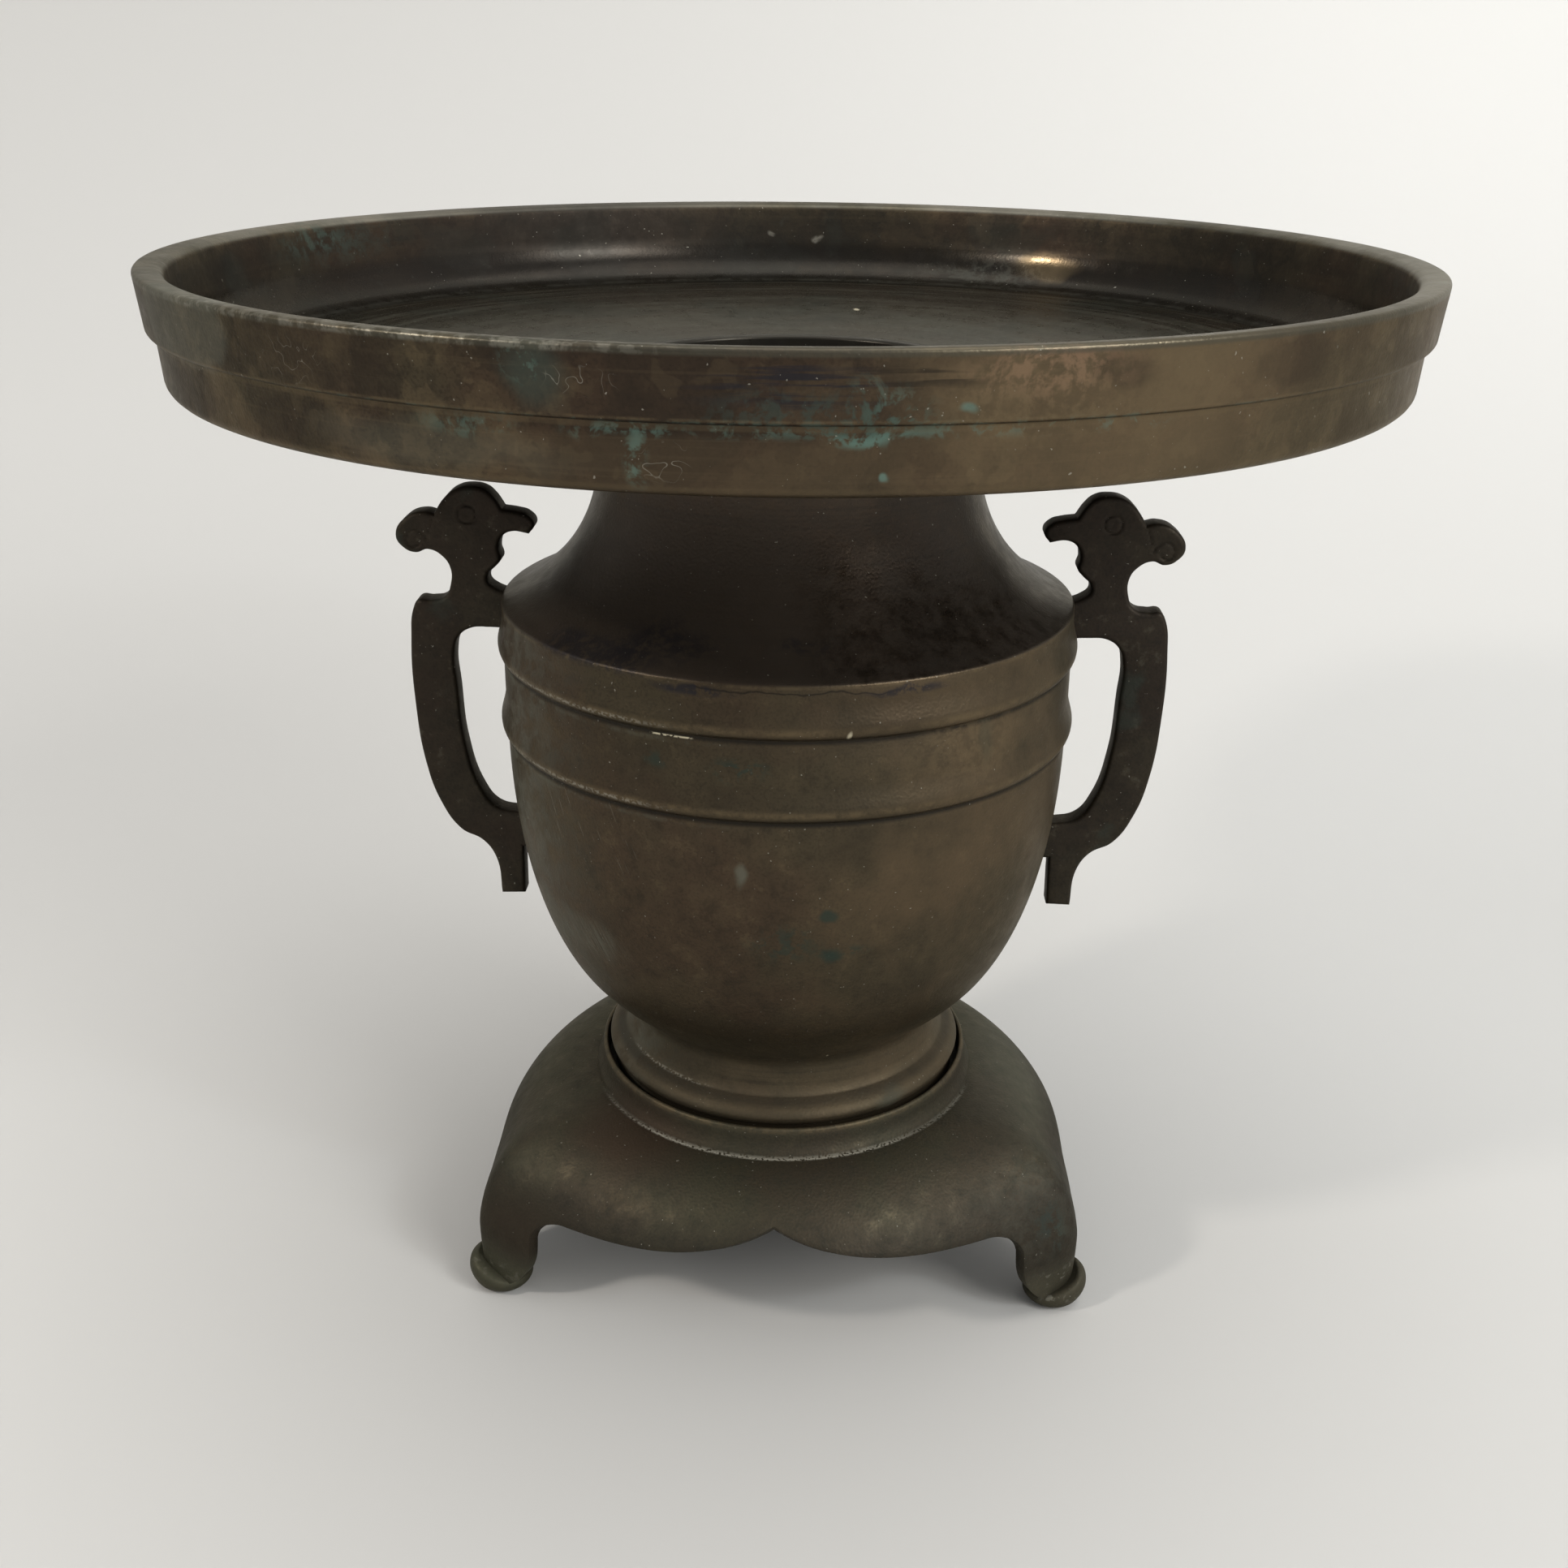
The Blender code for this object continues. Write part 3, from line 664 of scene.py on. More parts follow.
def build_stand():
    """Tripod stand: skin with its thickness, joined to the seat ring and the toes."""
    stand = new_piece("stand_casting", stand_sheet())
    skin = stand.modifiers.new("Thickness", "SOLIDIFY")
    skin.thickness = SHEET_THICKNESS
    skin.offset = -1.0
    skin.use_even_offset = True
    ease = stand.modifiers.new("Eased edges", "BEVEL")
    ease.width = 0.0006
    ease.segments = 2
    ease.limit_method = "ANGLE"
    ease.angle_limit = math.radians(50.0)
    helpers = [in_scene("seat_ring", as_mesh("seat_ring", seat_ring()))]
    for leg, hollow in enumerate(TOE_HOLLOWS):
        pad = toe(math.radians(90.0 + 120.0 * leg), hollow)
        helpers.append(in_scene("toe_%d" % leg, as_mesh("toe_%d" % leg, pad)))
    for helper in helpers:
        join = stand.modifiers.new("Join", "BOOLEAN")
        join.operation = "UNION"
        join.solver = "EXACT"
        join.object = helper
    settle(stand)
    for helper in helpers:
        bpy.data.objects.remove(helper)
    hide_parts("stand")
    return stand


# Shader sums
class Flow:
    """A shader socket that takes part in Python sums; each sum adds its Math node."""

    def __init__(self, tree, socket):
        self.tree = tree
        self.socket = socket

    def node(self, kind, settings=None, values=None, output=0):
        """Any other node: its settings first, then the values or links of its sockets."""
        made = self.tree.nodes.new(kind)
        for name, value in (settings or {}).items():
            setattr(made, name, value)
        for name, value in (values or {}).items():
            if isinstance(value, Flow):
                self.tree.links.new(value.socket, made.inputs[name])
            else:
                made.inputs[name].default_value = value
        return Flow(self.tree, made.outputs[output])

    def maths(self, operation, first, second=0.0):
        return self.node("ShaderNodeMath", {"operation": operation}, {0: first, 1: second})

    def __add__(self, other):
        return self.maths("ADD", self, other)

    def __mul__(self, other):
        return self.maths("MULTIPLY", self, other)

    def __sub__(self, other):
        return self.maths("SUBTRACT", self, other)

    def __rsub__(self, other):
        return self.maths("SUBTRACT", other, self)

    def most(self, other):
        return self.maths("MAXIMUM", self, other)

    def between(self, low, high):
        """0 below low and 1 above high, or the other way round where low is the larger."""
        values = {"Value": self, "From Min": low, "From Max": high}
        return self.node("ShaderNodeMapRange", {"interpolation_type": "SMOOTHSTEP"}, values)

    def near(self, level, reach):
        """1 at a level, falling to 0 at a distance from it."""
        return self.maths("ABSOLUTE", self - level).between(reach, 0.0)

    def within(self, low, high, ease):
        """1 between two levels, fading outside them."""
        return self.between(low - ease, low) * self.between(high + ease, high)

    def vector(self, operation, other=(0.0, 0.0, 0.0), output=0):
        return self.node("ShaderNodeVectorMath", {"operation": operation}, {0: self, 1: other}, output)

    def length(self):
        return self.vector("LENGTH", output=1)

    def parts(self):
        """The three numbers of a vector."""
        split = self.node("ShaderNodeSeparateXYZ", None, {"Vector": self}).socket.node
        return [Flow(self.tree, output) for output in split.outputs]

    def noise(self, scale, detail=4.0, roughness=0.55):
        """Cloudy pattern of a place, as a number about 0.5."""
        values = {"Vector": self, "Scale": scale, "Detail": detail, "Roughness": roughness}
        return self.node("ShaderNodeTexNoise", None, values)

    def shaken(self, scale, amount):
        """A place moved about at random by up to an amount, which breaks up an outline."""
        values = {"Vector": self, "Scale": scale, "Detail": 3.0}
        push = self.node("ShaderNodeTexNoise", None, values, output=1).vector("SUBTRACT", (0.5, 0.5, 0.5))
        return self.vector("ADD", push.vector("MULTIPLY", (amount, amount, amount)))

    def blot(self, centre, size, edge):
        """Patch round a point in millimetres: 1 inside its size along each axis, with a soft edge."""
        moved = self.vector("SUBTRACT", tuple(0.001 * value for value in centre))
        scaled = moved.vector("MULTIPLY", tuple(1000.0 / value for value in size))
        return scaled.length().between(1.0 + edge, 1.0 - edge)

    def tint(self, colour, share):
        """This colour mixed towards another by a share."""
        values = {0: share, 6: self, 7: (*colour, 1.0)}
        return self.node("ShaderNodeMix", {"data_type": "RGBA"}, values, output=2)


# Colours of the bronze, of its films and of its corrosion, some of them also laid on as painted shade,
# sheen and highlights
OLIVE = (0.060, 0.048, 0.030)
RUSSET = (0.062, 0.041, 0.027)
UMBER = (0.030, 0.023, 0.017)
# Dark bronze tone, also laid on as painted shade in creases, gaps and low places
SMOKE_AND_SHADE = (0.016, 0.0145, 0.0125)
GOLD = (0.158, 0.117, 0.066)
COPPER = (0.330, 0.190, 0.125)
HAZE = (0.105, 0.108, 0.082)
VERDIGRIS = (0.095, 0.160, 0.130)
DARK_GREEN = (0.030, 0.045, 0.036)
BLUE_BLACK = (0.023, 0.022, 0.026)
NECK_DUST = (0.062, 0.050, 0.039)
COVE_DUST_AND_BOUNCE_LIGHT = (0.102, 0.093, 0.065)
MOSS = (0.064, 0.068, 0.045)
PALE = (0.430, 0.410, 0.340)
CREAM = (0.620, 0.560, 0.400)


class Patina:
    """A bronze finish while it is built up: its colour, dull film, roughness and relief."""

    def __init__(self, name):
        self.material = bpy.data.materials.new(name)
        self.material.use_nodes = True
        tree = self.material.node_tree
        tree.nodes.clear()
        output = tree.nodes.new("ShaderNodeOutputMaterial")
        self.shader = tree.nodes.new("ShaderNodeBsdfPrincipled")
        self.shader.inputs["Specular IOR Level"].default_value = 0.35
        self.shader.inputs["Specular Tint"].default_value = (0.62, 0.60, 0.55, 1.0)
        tree.links.new(self.shader.outputs[0], output.inputs[0])
        self.place = Flow(tree, tree.nodes.new("ShaderNodeTexCoord").outputs["Object"])
        self.x, self.y, self.height = self.place.parts()
        self.radius = self.place.vector("MULTIPLY", (1.0, 1.0, 0.0)).length()
        self.turn = self.x.maths("ARCTAN2", self.x, 0.0 - self.y) * (180.0 / math.pi)
        self.loose = self.place.shaken(75.0, 0.007)
        self.clouds = self.loose.noise(16.0, 4.0, 0.65)
        self.patches = self.loose.vector("ADD", (0.31, 0.17, 0.05)).noise(34.0, 4.0, 0.55)
        self.mottle = self.place.noise(190.0, 5.0, 0.72)
        self.grain = self.place.noise(1500.0, 0.0, 0.60)
        self.crumbs = self.loose.noise(330.0, 3.0, 0.70)
        self.flakes = self.loose.vector("ADD", (0.13, 0.41, 0.22)).noise(95.0, 3.0, 0.60)
        self.lathe = self.place.vector("MULTIPLY", (9.0, 9.0, 900.0)).noise(1.0, 2.0, 0.55)
        ground = {0: self.clouds.between(0.40, 0.62), 6: (*OLIVE, 1.0), 7: (*RUSSET, 1.0)}
        self.colour = self.place.node("ShaderNodeMix", {"data_type": "RGBA"}, ground, output=2)
        self.film = None
        self.relief = self.mottle * 0.55 + self.grain * 0.30
        self.rough = self.mottle * 0.30 + 0.29
        self.stain(SMOKE_AND_SHADE, self.mottle.between(0.48, 0.72) * 0.55)
        self.wear(GOLD, self.mottle.between(0.46, 0.30) * 0.26)
        self.stain(SMOKE_AND_SHADE, self.grain.between(0.50, 0.72) * 0.30)

    def stain(self, colour, share):
        """Change of tone in the metal's own skin; also used for painted shade."""
        self.colour = self.colour.tint(colour, share)

    def crust(self, colour, share):
        """Dull film or corrosion: it hides the metal and roughens it. Also used for a painted highlight
        and painted bounce light.
        """
        self.colour = self.colour.tint(colour, share)
        self.film = share if self.film is None else self.film.most(share)

    def wear(self, colour, share):
        """Rubbed place where brighter metal shows, smoother than round it; also used for painted sheen and
        a painted highlight.
        """
        self.colour = self.colour.tint(colour, share)
        self.rough = self.rough - share * 0.08

    def spread(self, lay, table):
        """Stains or crusts: colour, centre and size in mm, softness, where crumbs break them, strength."""
        for colour, centre, size, edge, broken, share in table:
            patch = self.loose.blot(centre, size, edge) * self.crumbs.between(*broken)
            lay(colour, patch * share)

    def pale_marks(self, table):
        """Thin pale squiggles inside a patch, such as dried drips and scuffs."""
        lines = self.loose.noise(300.0, 1.0, 0.4).near(0.5, 0.010)
        for centre, size in table:
            self.crust(PALE, lines * self.loose.blot(centre, size, 0.5) * 0.34)

    def specks(self, share):
        """Scattered tiny grains of dust and lime."""
        self.crust(PALE, self.place.noise(1250.0, 1.0, 0.5).between(0.765, 0.800) * share)

    def close(self, metal=0.82, strength=0.35, distance=0.0004):
        """Link everything to the shader."""
        values = {"Height": self.relief, "Strength": strength, "Distance": distance}
        bump = self.relief.node("ShaderNodeBump", None, values)
        metallic = (1.0 - self.film * 0.85) * metal
        rough = self.rough + self.film * 0.22
        for flow, socket in (
            (self.colour, "Base Color"),
            (metallic, "Metallic"),
            (rough, "Roughness"),
            (bump, "Normal"),
        ):
            flow.tree.links.new(flow.socket, self.shader.inputs[socket])
        return self.material


WHOLE = (-1.0, -0.5)
DISH_STAINS = (
    (COPPER, (48.0, -141.0, 266.6), (13.0, 13.0, 4.0), 0.6, (0.42, 0.62), 0.42),
    (GOLD, (46.0, -141.5, 262.5), (17.0, 17.0, 7.0), 0.5, (0.40, 0.60), 0.45),
    (UMBER, (-87.0, -117.0, 251.5), (13.0, 13.0, 4.5), 0.2, WHOLE, 0.45),
    (UMBER, (-84.0, -122.0, 264.5), (22.0, 22.0, 6.0), 0.2, WHOLE, 0.40),
    (UMBER, (93.0, -116.0, 265.0), (9.0, 12.0, 4.0), 0.3, WHOLE, 0.35),
    (UMBER, (60.0, -136.0, 266.0), (6.0, 6.0, 3.0), 0.4, WHOLE, 0.40),
)
DISH_CRUSTS = (
    (HAZE, (-116.0, -92.0, 265.5), (20.0, 24.0, 9.0), 0.1, WHOLE, 0.34),
    (HAZE, (-60.0, -134.0, 251.0), (26.0, 20.0, 4.0), 0.5, WHOLE, 0.22),
    (VERDIGRIS, (16.0, -145.5, 256.3), (6.5, 4.0, 1.3), 0.7, (0.40, 0.56), 0.95),
    (VERDIGRIS, (19.5, -147.0, 260.5), (6.0, 4.0, 4.5), 0.7, (0.47, 0.62), 0.55),
    (DARK_GREEN, (8.0, -148.0, 260.0), (17.0, 8.0, 3.4), 0.6, (0.44, 0.58), 0.60),
    (VERDIGRIS, (-24.0, -144.5, 256.4), (9.0, 5.0, 1.2), 0.6, (0.45, 0.60), 0.60),
    (VERDIGRIS, (-21.5, -144.5, 251.8), (1.9, 4.0, 4.8), 0.6, (0.42, 0.60), 0.60),
    (VERDIGRIS, (-52.2, -136.8, 255.6), (9.0, 7.0, 1.8), 0.6, (0.42, 0.60), 0.42),
    (DARK_GREEN, (-38.5, -144.2, 265.0), (5.5, 5.0, 5.5), 0.5, WHOLE, 0.62),
    (VERDIGRIS, (-41.0, -143.5, 267.0), (3.0, 4.0, 2.6), 0.7, (0.50, 0.60), 0.45),
    (VERDIGRIS, (33.4, -145.0, 261.2), (1.6, 3.0, 0.8), 0.6, WHOLE, 0.70),
    (VERDIGRIS, (20.5, -144.3, 248.8), (0.8, 3.0, 0.8), 0.5, WHOLE, 0.80),
)
CUP_CRUSTS = (
    (DARK_GREEN, (-127.0, 62.0, 265.5), (14.0, 24.0, 5.0), 0.7, (0.36, 0.62), 0.45),
    (VERDIGRIS, (-131.0, 54.0, 266.5), (8.0, 12.0, 3.0), 0.7, (0.46, 0.62), 0.20),
    (HAZE, (60.0, 127.0, 252.0), (22.0, 10.0, 3.0), 0.7, (0.40, 0.60), 0.55),
    (PALE, (-10.0, 141.0, 262.0), (0.9, 3.0, 0.7), 0.6, (0.30, 0.60), 0.30),
    (PALE, (4.0, 141.0, 261.0), (1.1, 3.0, 0.9), 0.6, (0.30, 0.60), 0.40),
    (CREAM, (16.0, 84.0, 247.0), (0.8, 1.6, 2.0), 0.5, WHOLE, 0.70),
)
DISH_MARKS = (
    ((-86.0, -121.8, 263.5), (6.0, 8.0, 4.0)),
    ((-31.2, -145.7, 264.2), (5.5, 4.0, 2.2)),
    ((-17.0, -145.0, 251.2), (3.4, 4.0, 2.6)),
)


def finish_dish():
    """Brown band with tone patches, gold wear that is partly painted sheen at its right, verdigris along
    the step; dark lacquer inside, with painted shade in its lower curve, on the far left wall and at the
    throat, and a painted highlight at the back right.
    """
    patina = Patina("bronze_dish_patina")
    stain, crust, wear = patina.stain, patina.crust, patina.wear
    clouds, crumbs = patina.clouds, patina.crumbs
    radius, height, turn = patina.radius, patina.height, patina.turn
    outer = radius.between(0.1425, 0.1440)
    floor_level = (height - radius * 0.064).between(0.2380, 0.2392)
    cup = (1.0 - outer) * floor_level.most(radius.between(0.0440, 0.0430))

    stain(UMBER, patina.patches.between(0.530, 0.565) * 0.48)
    wear(GOLD, patina.patches.between(0.470, 0.435) * 0.20)
    stain(UMBER, patina.flakes.between(0.545, 0.585) * 0.34)
    wear(GOLD, patina.flakes.between(0.430, 0.390) * 0.20)
    wear(GOLD, patina.lathe.between(0.56, 0.72) * 0.14)
    # Gold at the band's right: partly rubbed wear, partly painted sheen where the right window lights it
    wear(GOLD, turn.within(16.0, 30.0, 12.0) * clouds.between(0.34, 0.56) * outer * 0.45)
    wear(GOLD, turn.within(30.0, 75.0, 12.0) * outer * 0.24)
    below_step = turn.within(-16.0, 6.0, 6.0) * height.between(0.2570, 0.2540)
    wear(GOLD, below_step * clouds.between(0.40, 0.55) * 0.25)
    stain(UMBER, turn.within(-12.0, 6.0, 8.0) * outer * 0.36)
    patina.spread(stain, DISH_STAINS)

    drawn_out = patina.place.vector("MULTIPLY", (30.0, 30.0, 520.0))
    streaks = drawn_out.noise(1.0, 4.0, 0.6).between(0.46, 0.56)
    blue_patch = patina.loose.blot((4.0, -149.0, 264.8), (15.0, 6.0, 3.6), 0.5)
    stain(BLUE_BLACK, blue_patch * streaks * 0.85)
    dark_patch = patina.loose.blot((27.0, -147.0, 266.5), (9.0, 6.0, 1.6), 0.6)
    stain(SMOKE_AND_SHADE, dark_patch * streaks * 0.6)

    along_step = height.near(0.2572, 0.0024) * outer
    middle_run = along_step * turn.within(-2.0, 11.0, 4.0)
    crust(VERDIGRIS, middle_run * crumbs.between(0.46, 0.62) * 0.60)
    right_run = along_step * turn.within(14.0, 26.0, 4.0)
    crust(VERDIGRIS, right_run * crumbs.between(0.52, 0.62) * 0.4)
    lip = height.near(0.2582, 0.0007) * outer * turn.within(-30.0, 34.0, 10.0)
    crust(VERDIGRIS, lip * crumbs.between(0.50, 0.62) * 0.35)
    patina.spread(crust, DISH_CRUSTS)
    patina.pale_marks(DISH_MARKS)

    stain(SMOKE_AND_SHADE, height.near(0.2580, 0.0005) * outer * 0.60)
    wear(GOLD, height.near(0.2588, 0.0005) * outer * patina.mottle.between(0.38, 0.60) * 0.40)
    wear(GOLD, height.within(0.2570, 0.2576, 0.0005) * outer * 0.22)
    rim = height.between(0.2692, 0.2700)
    stain(UMBER, rim * turn.within(24.0, 130.0, 26.0) * 0.45)
    wear(HAZE, rim * 0.34)
    wear(PALE, rim * turn.within(-46.0, -14.0, 12.0) * crumbs.between(0.44, 0.60) * 0.22)
    rim_sides = rim * (turn.between(42.0, 76.0) + turn.between(-42.0, -76.0))
    crust(PALE, rim_sides * clouds.between(0.30, 0.60) * 0.26)
    wear(GOLD, height.near(0.2462, 0.0012) * outer * 0.25)

    floor = cup * radius.between(0.1400, 0.1340)
    bend_painted_shade = cup * radius.within(0.1310, 0.1412, 0.0030) * height.between(0.2610, 0.2560)
    stain(SMOKE_AND_SHADE, cup * 0.70)
    stain(RUSSET, cup * clouds.between(0.40, 0.58) * 0.30)
    ring_place = {"X": radius * 420.0, "Y": turn.maths("ABSOLUTE", turn) * 0.03, "Z": height * 260.0}
    rings = patina.place.node("ShaderNodeCombineXYZ", None, ring_place).noise(1.0, 4.0, 0.6)
    stain(SMOKE_AND_SHADE, cup * rings.between(0.46, 0.62) * 0.20)
    crust(HAZE, cup * radius.near(0.1325, 0.0022) * patina.mottle.between(0.32, 0.60) * 0.34)
    crust(HAZE, floor * radius.between(0.1350, 0.0600) * 0.24 + floor * 0.05)
    crust(HAZE, floor * rings.between(0.52, 0.40) * 0.22)
    crust(HAZE, cup * patina.mottle.between(0.60, 0.74) * 0.16)
    crust(DARK_GREEN, cup * patina.patches.between(0.54, 0.62) * 0.12)
    patina.spread(crust, CUP_CRUSTS)
    # Painted shade in the cup's curve from wall to floor, dimming its reflection
    stain(SMOKE_AND_SHADE, bend_painted_shade * 0.66)
    # Painted shade on the cup's far left wall, dimming the window's reflection there
    stain(SMOKE_AND_SHADE, patina.loose.blot((-68.0, 123.0, 264.0), (58.0, 40.0, 15.0), 0.7) * 0.70)
    # Painted shade on the throat's lip and down the spigot's bore
    stain(SMOKE_AND_SHADE, cup * radius.between(0.0475, 0.0440) * 0.75)
    patina.specks(0.40)
    # Smoother rubbed spot at the cup's back right, with a painted highlight in gold where the left lamp's
    # reflection falls
    rubbed_spot_painted_highlight = patina.loose.blot((73.4, 118.0, 255.0), (9.0, 8.0, 3.0), 0.6)
    wear(GOLD, rubbed_spot_painted_highlight * 0.70)
    patina.rough = patina.rough - cup * (0.17 - height.between(0.2575, 0.2615) * 0.32)
    patina.relief = (patina.relief + patina.lathe * 0.10) * (1.0 - cup * 0.70)
    return patina.close()


BODY_STAINS = (
    (UMBER, (24.0, -69.5, 179.0), (15.0, 8.0, 7.0), 0.6, WHOLE, 0.40),
    (GOLD, (45.0, -58.0, 167.0), (15.0, 15.0, 8.0), 0.6, (0.40, 0.60), 0.35),
    (BLUE_BLACK, (-28.0, -60.0, 191.5), (12.0, 8.0, 4.0), 0.7, (0.36, 0.62), 0.74),
    (BLUE_BLACK, (5.0, -62.0, 192.3), (6.0, 5.0, 1.8), 0.6, (0.40, 0.60), 0.50),
    (BLUE_BLACK, (-19.5, -70.5, 183.9), (8.5, 4.0, 1.2), 0.5, (0.36, 0.52), 0.85),
    (BLUE_BLACK, (29.0, -67.2, 184.2), (9.0, 5.0, 0.9), 0.6, (0.36, 0.52), 0.80),
    (DARK_GREEN, (13.0, -70.1, 128.1), (1.8, 2.4, 1.7), 0.4, WHOLE, 0.80),
    (DARK_GREEN, (12.8, -68.4, 117.4), (2.3, 2.6, 2.1), 0.5, WHOLE, 0.85),
    (DARK_GREEN, (15.5, -68.0, 118.2), (5.5, 5.0, 1.5), 0.7, (0.46, 0.58), 0.55),
    (DARK_GREEN, (2.0, -70.3, 120.6), (7.5, 5.0, 4.5), 0.7, (0.47, 0.60), 0.60),
    (UMBER, (-16.6, -69.1, 125.0), (6.0, 5.0, 4.0), 0.7, (0.45, 0.60), 0.45),
    (DARK_GREEN, (-8.3, -72.8, 165.0), (5.5, 4.0, 2.6), 0.7, (0.48, 0.58), 0.65),
    (DARK_GREEN, (-27.9, -67.8, 165.6), (2.6, 3.0, 1.6), 0.7, (0.45, 0.55), 0.65),
    (DARK_GREEN, (47.5, -55.5, 168.5), (2.2, 3.0, 5.0), 0.6, WHOLE, 0.28),
)
BODY_CRUSTS = (
    (CREAM, (15.5, -72.9, 174.3), (0.6, 2.0, 0.8), 0.6, WHOLE, 0.60),
    (HAZE, (-8.2, -72.0, 138.1), (1.2, 2.4, 3.0), 0.6, WHOLE, 0.65),
    (CREAM, (12.0, -46.0, 74.5), (0.4, 1.4, 0.6), 0.5, WHOLE, 0.80),
    (DARK_GREEN, (29.9, -38.4, 58.4), (4.5, 4.5, 2.0), 0.6, WHOLE, 0.60),
)


def finish_body():
    """Red-brown neck with painted shade at its right, painted shade in the creases, rubbed beads with a
    painted highlight, golden belly at the right that is partly painted sheen, haze at the left, painted
    bounce light under the belly and painted shade on the foot inside the collar.
    """
    patina = Patina("bronze_body_patina")
    stain, crust, wear = patina.stain, patina.crust, patina.wear
    mottle = patina.mottle
    height, turn = patina.height, patina.turn
    above = height.between(0.1858, 0.1866)
    stain(UMBER, patina.patches.between(0.55, 0.62) * (0.26 - above * 0.18))
    wear(GOLD, patina.patches.between(0.46, 0.38) * 0.12)
    stain(RUSSET, above * 0.66)
    stain(SMOKE_AND_SHADE, above * (patina.lathe.between(0.46, 0.64) * 0.26 + 0.12))
    stain(NECK_DUST, above * (height.between(0.216, 0.192) * 0.35 + 0.25))
    crust(NECK_DUST, above * mottle.between(0.25, 0.65) * 0.42)
    dusty_side = above * height.between(0.2230, 0.2060) * turn.within(-70.0, 0.0, 20.0)
    crust(NECK_DUST, dusty_side * 0.50)
    # Painted shade on the neck's right, dimming the window's sheen there
    stain(SMOKE_AND_SHADE, above * turn.within(30.0, 62.0, 12.0) * 0.36)
    stain(OLIVE, (1.0 - above) * 0.30)
    # Gold on the belly's right: partly golden patina, partly painted sheen where the right window lights
    # it
    right = turn.within(18.0, 78.0, 20.0) * (1.0 - above)
    wear(GOLD, right * patina.clouds.between(0.36, 0.62) * 0.34)
    left = turn.within(-146.0, -64.0, 34.0) * (1.0 - above)
    crust(HAZE, left * mottle.between(0.34, 0.64) * 0.48)
    crust(HAZE, turn.within(-148.0, -84.0, 32.0) * above * 0.30)
    crust(HAZE, turn.within(84.0, 150.0, 26.0) * 0.20)

    slanted_place = {"X": turn * 0.10 - height * 40.0, "Y": turn * 2.6 + height * 900.0}
    slanted = patina.place.node("ShaderNodeCombineXYZ", None, slanted_place).noise(1.0, 3.0, 0.55)
    scuff = patina.loose.blot((-50.0, -46.0, 110.0), (13.0, 13.0, 6.0), 0.6)
    crust(HAZE, scuff * slanted.between(0.42, 0.60) * 0.60)
    scratched = patina.loose.blot((-46.0, -56.0, 144.0), (20.0, 16.0, 9.0), 0.5)
    crust(PALE, scratched * slanted.between(0.64, 0.70) * 0.30)

    for crease in (UPPER_RING, LOWER_RING):
        # Painted shade in each crease, under the bead's overhanging lip
        stain(SMOKE_AND_SHADE, height.near(crease - 0.0005, 0.0011) * 0.86)
        bead_crest = height.near(crease + 0.0022, 0.0016)
        wear(GOLD, bead_crest * mottle.between(0.34, 0.60) * 0.50)
        # Painted highlight: a pale line on each bead at the front left where light catches it
        bead_painted_highlight = height.near(crease + 0.0018, 0.0009) * turn.within(-62.0, -30.0, 14.0)
        crust(PALE, bead_painted_highlight * patina.grain.between(0.40, 0.60) * 0.34)
        # Paler line just below each crease at the front left
        pale_below_crease = height.near(crease - 0.0018, 0.0010) * turn.within(-70.0, -20.0, 20.0)
        crust(HAZE, pale_below_crease * mottle.between(0.40, 0.60) * 0.30)
    wear(GOLD, height.near(0.1857, 0.0007) * mottle.between(0.40, 0.62) * 0.40)

    pooled = turn.within(-46.0, -30.0, 9.0) * height.within(0.1863, 0.1888, 0.0020)
    stain(BLUE_BLACK, pooled * patina.crumbs.between(0.36, 0.56) * 0.72)
    wavering = patina.loose.parts()[2]
    stain(SMOKE_AND_SHADE, turn.within(-14.0, 20.0, 3.0) * wavering.near(0.1846, 0.00040) * 0.75)
    patina.spread(stain, BODY_STAINS)
    scratch = turn.within(-22.5, -16.0, 1.2) * height.near(0.17245, 0.00034)
    crust(CREAM, scratch * patina.grain.between(0.34, 0.52) * 0.85)
    patina.spread(crust, BODY_CRUSTS)

    cove = height.within(0.0620, 0.0700, 0.0030) * turn.within(-10.0, 60.0, 25.0)
    wear(GOLD, cove * patina.lathe.between(0.38, 0.60) * 0.14)
    stain(OLIVE, height.between(0.0640, 0.0600) * 0.35)
    # Partly dust in the cove, partly painted bounce light lifting the belly's underside
    crust(COVE_DUST_AND_BOUNCE_LIGHT, height.within(0.0640, 0.0790, 0.0120) * 0.14)
    stain(SMOKE_AND_SHADE, height.near(0.0612, 0.0014) * 0.35)
    wear(GOLD, height.near(0.0598, 0.0012) * mottle.between(0.38, 0.60) * 0.16)
    ledge = height.near(0.0622, 0.0005) * turn.within(-58.0, -30.0, 8.0)
    crust(PALE, ledge * patina.grain.between(0.42, 0.60) * 0.30)
    # Painted shade on the foot ring's lower part, where it sits inside the stand's collar
    stain(SMOKE_AND_SHADE, height.between(0.0545, 0.0512) * 0.70)
    crust(DARK_GREEN, height.between(0.0535, 0.0520) * mottle.between(0.45, 0.58) * 0.45)
    patina.specks(0.42)
    patina.rough = patina.rough - above * 0.10 + height.between(0.0860, 0.0680) * 0.15
    patina.relief = patina.relief + patina.lathe * 0.05
    return patina.close()


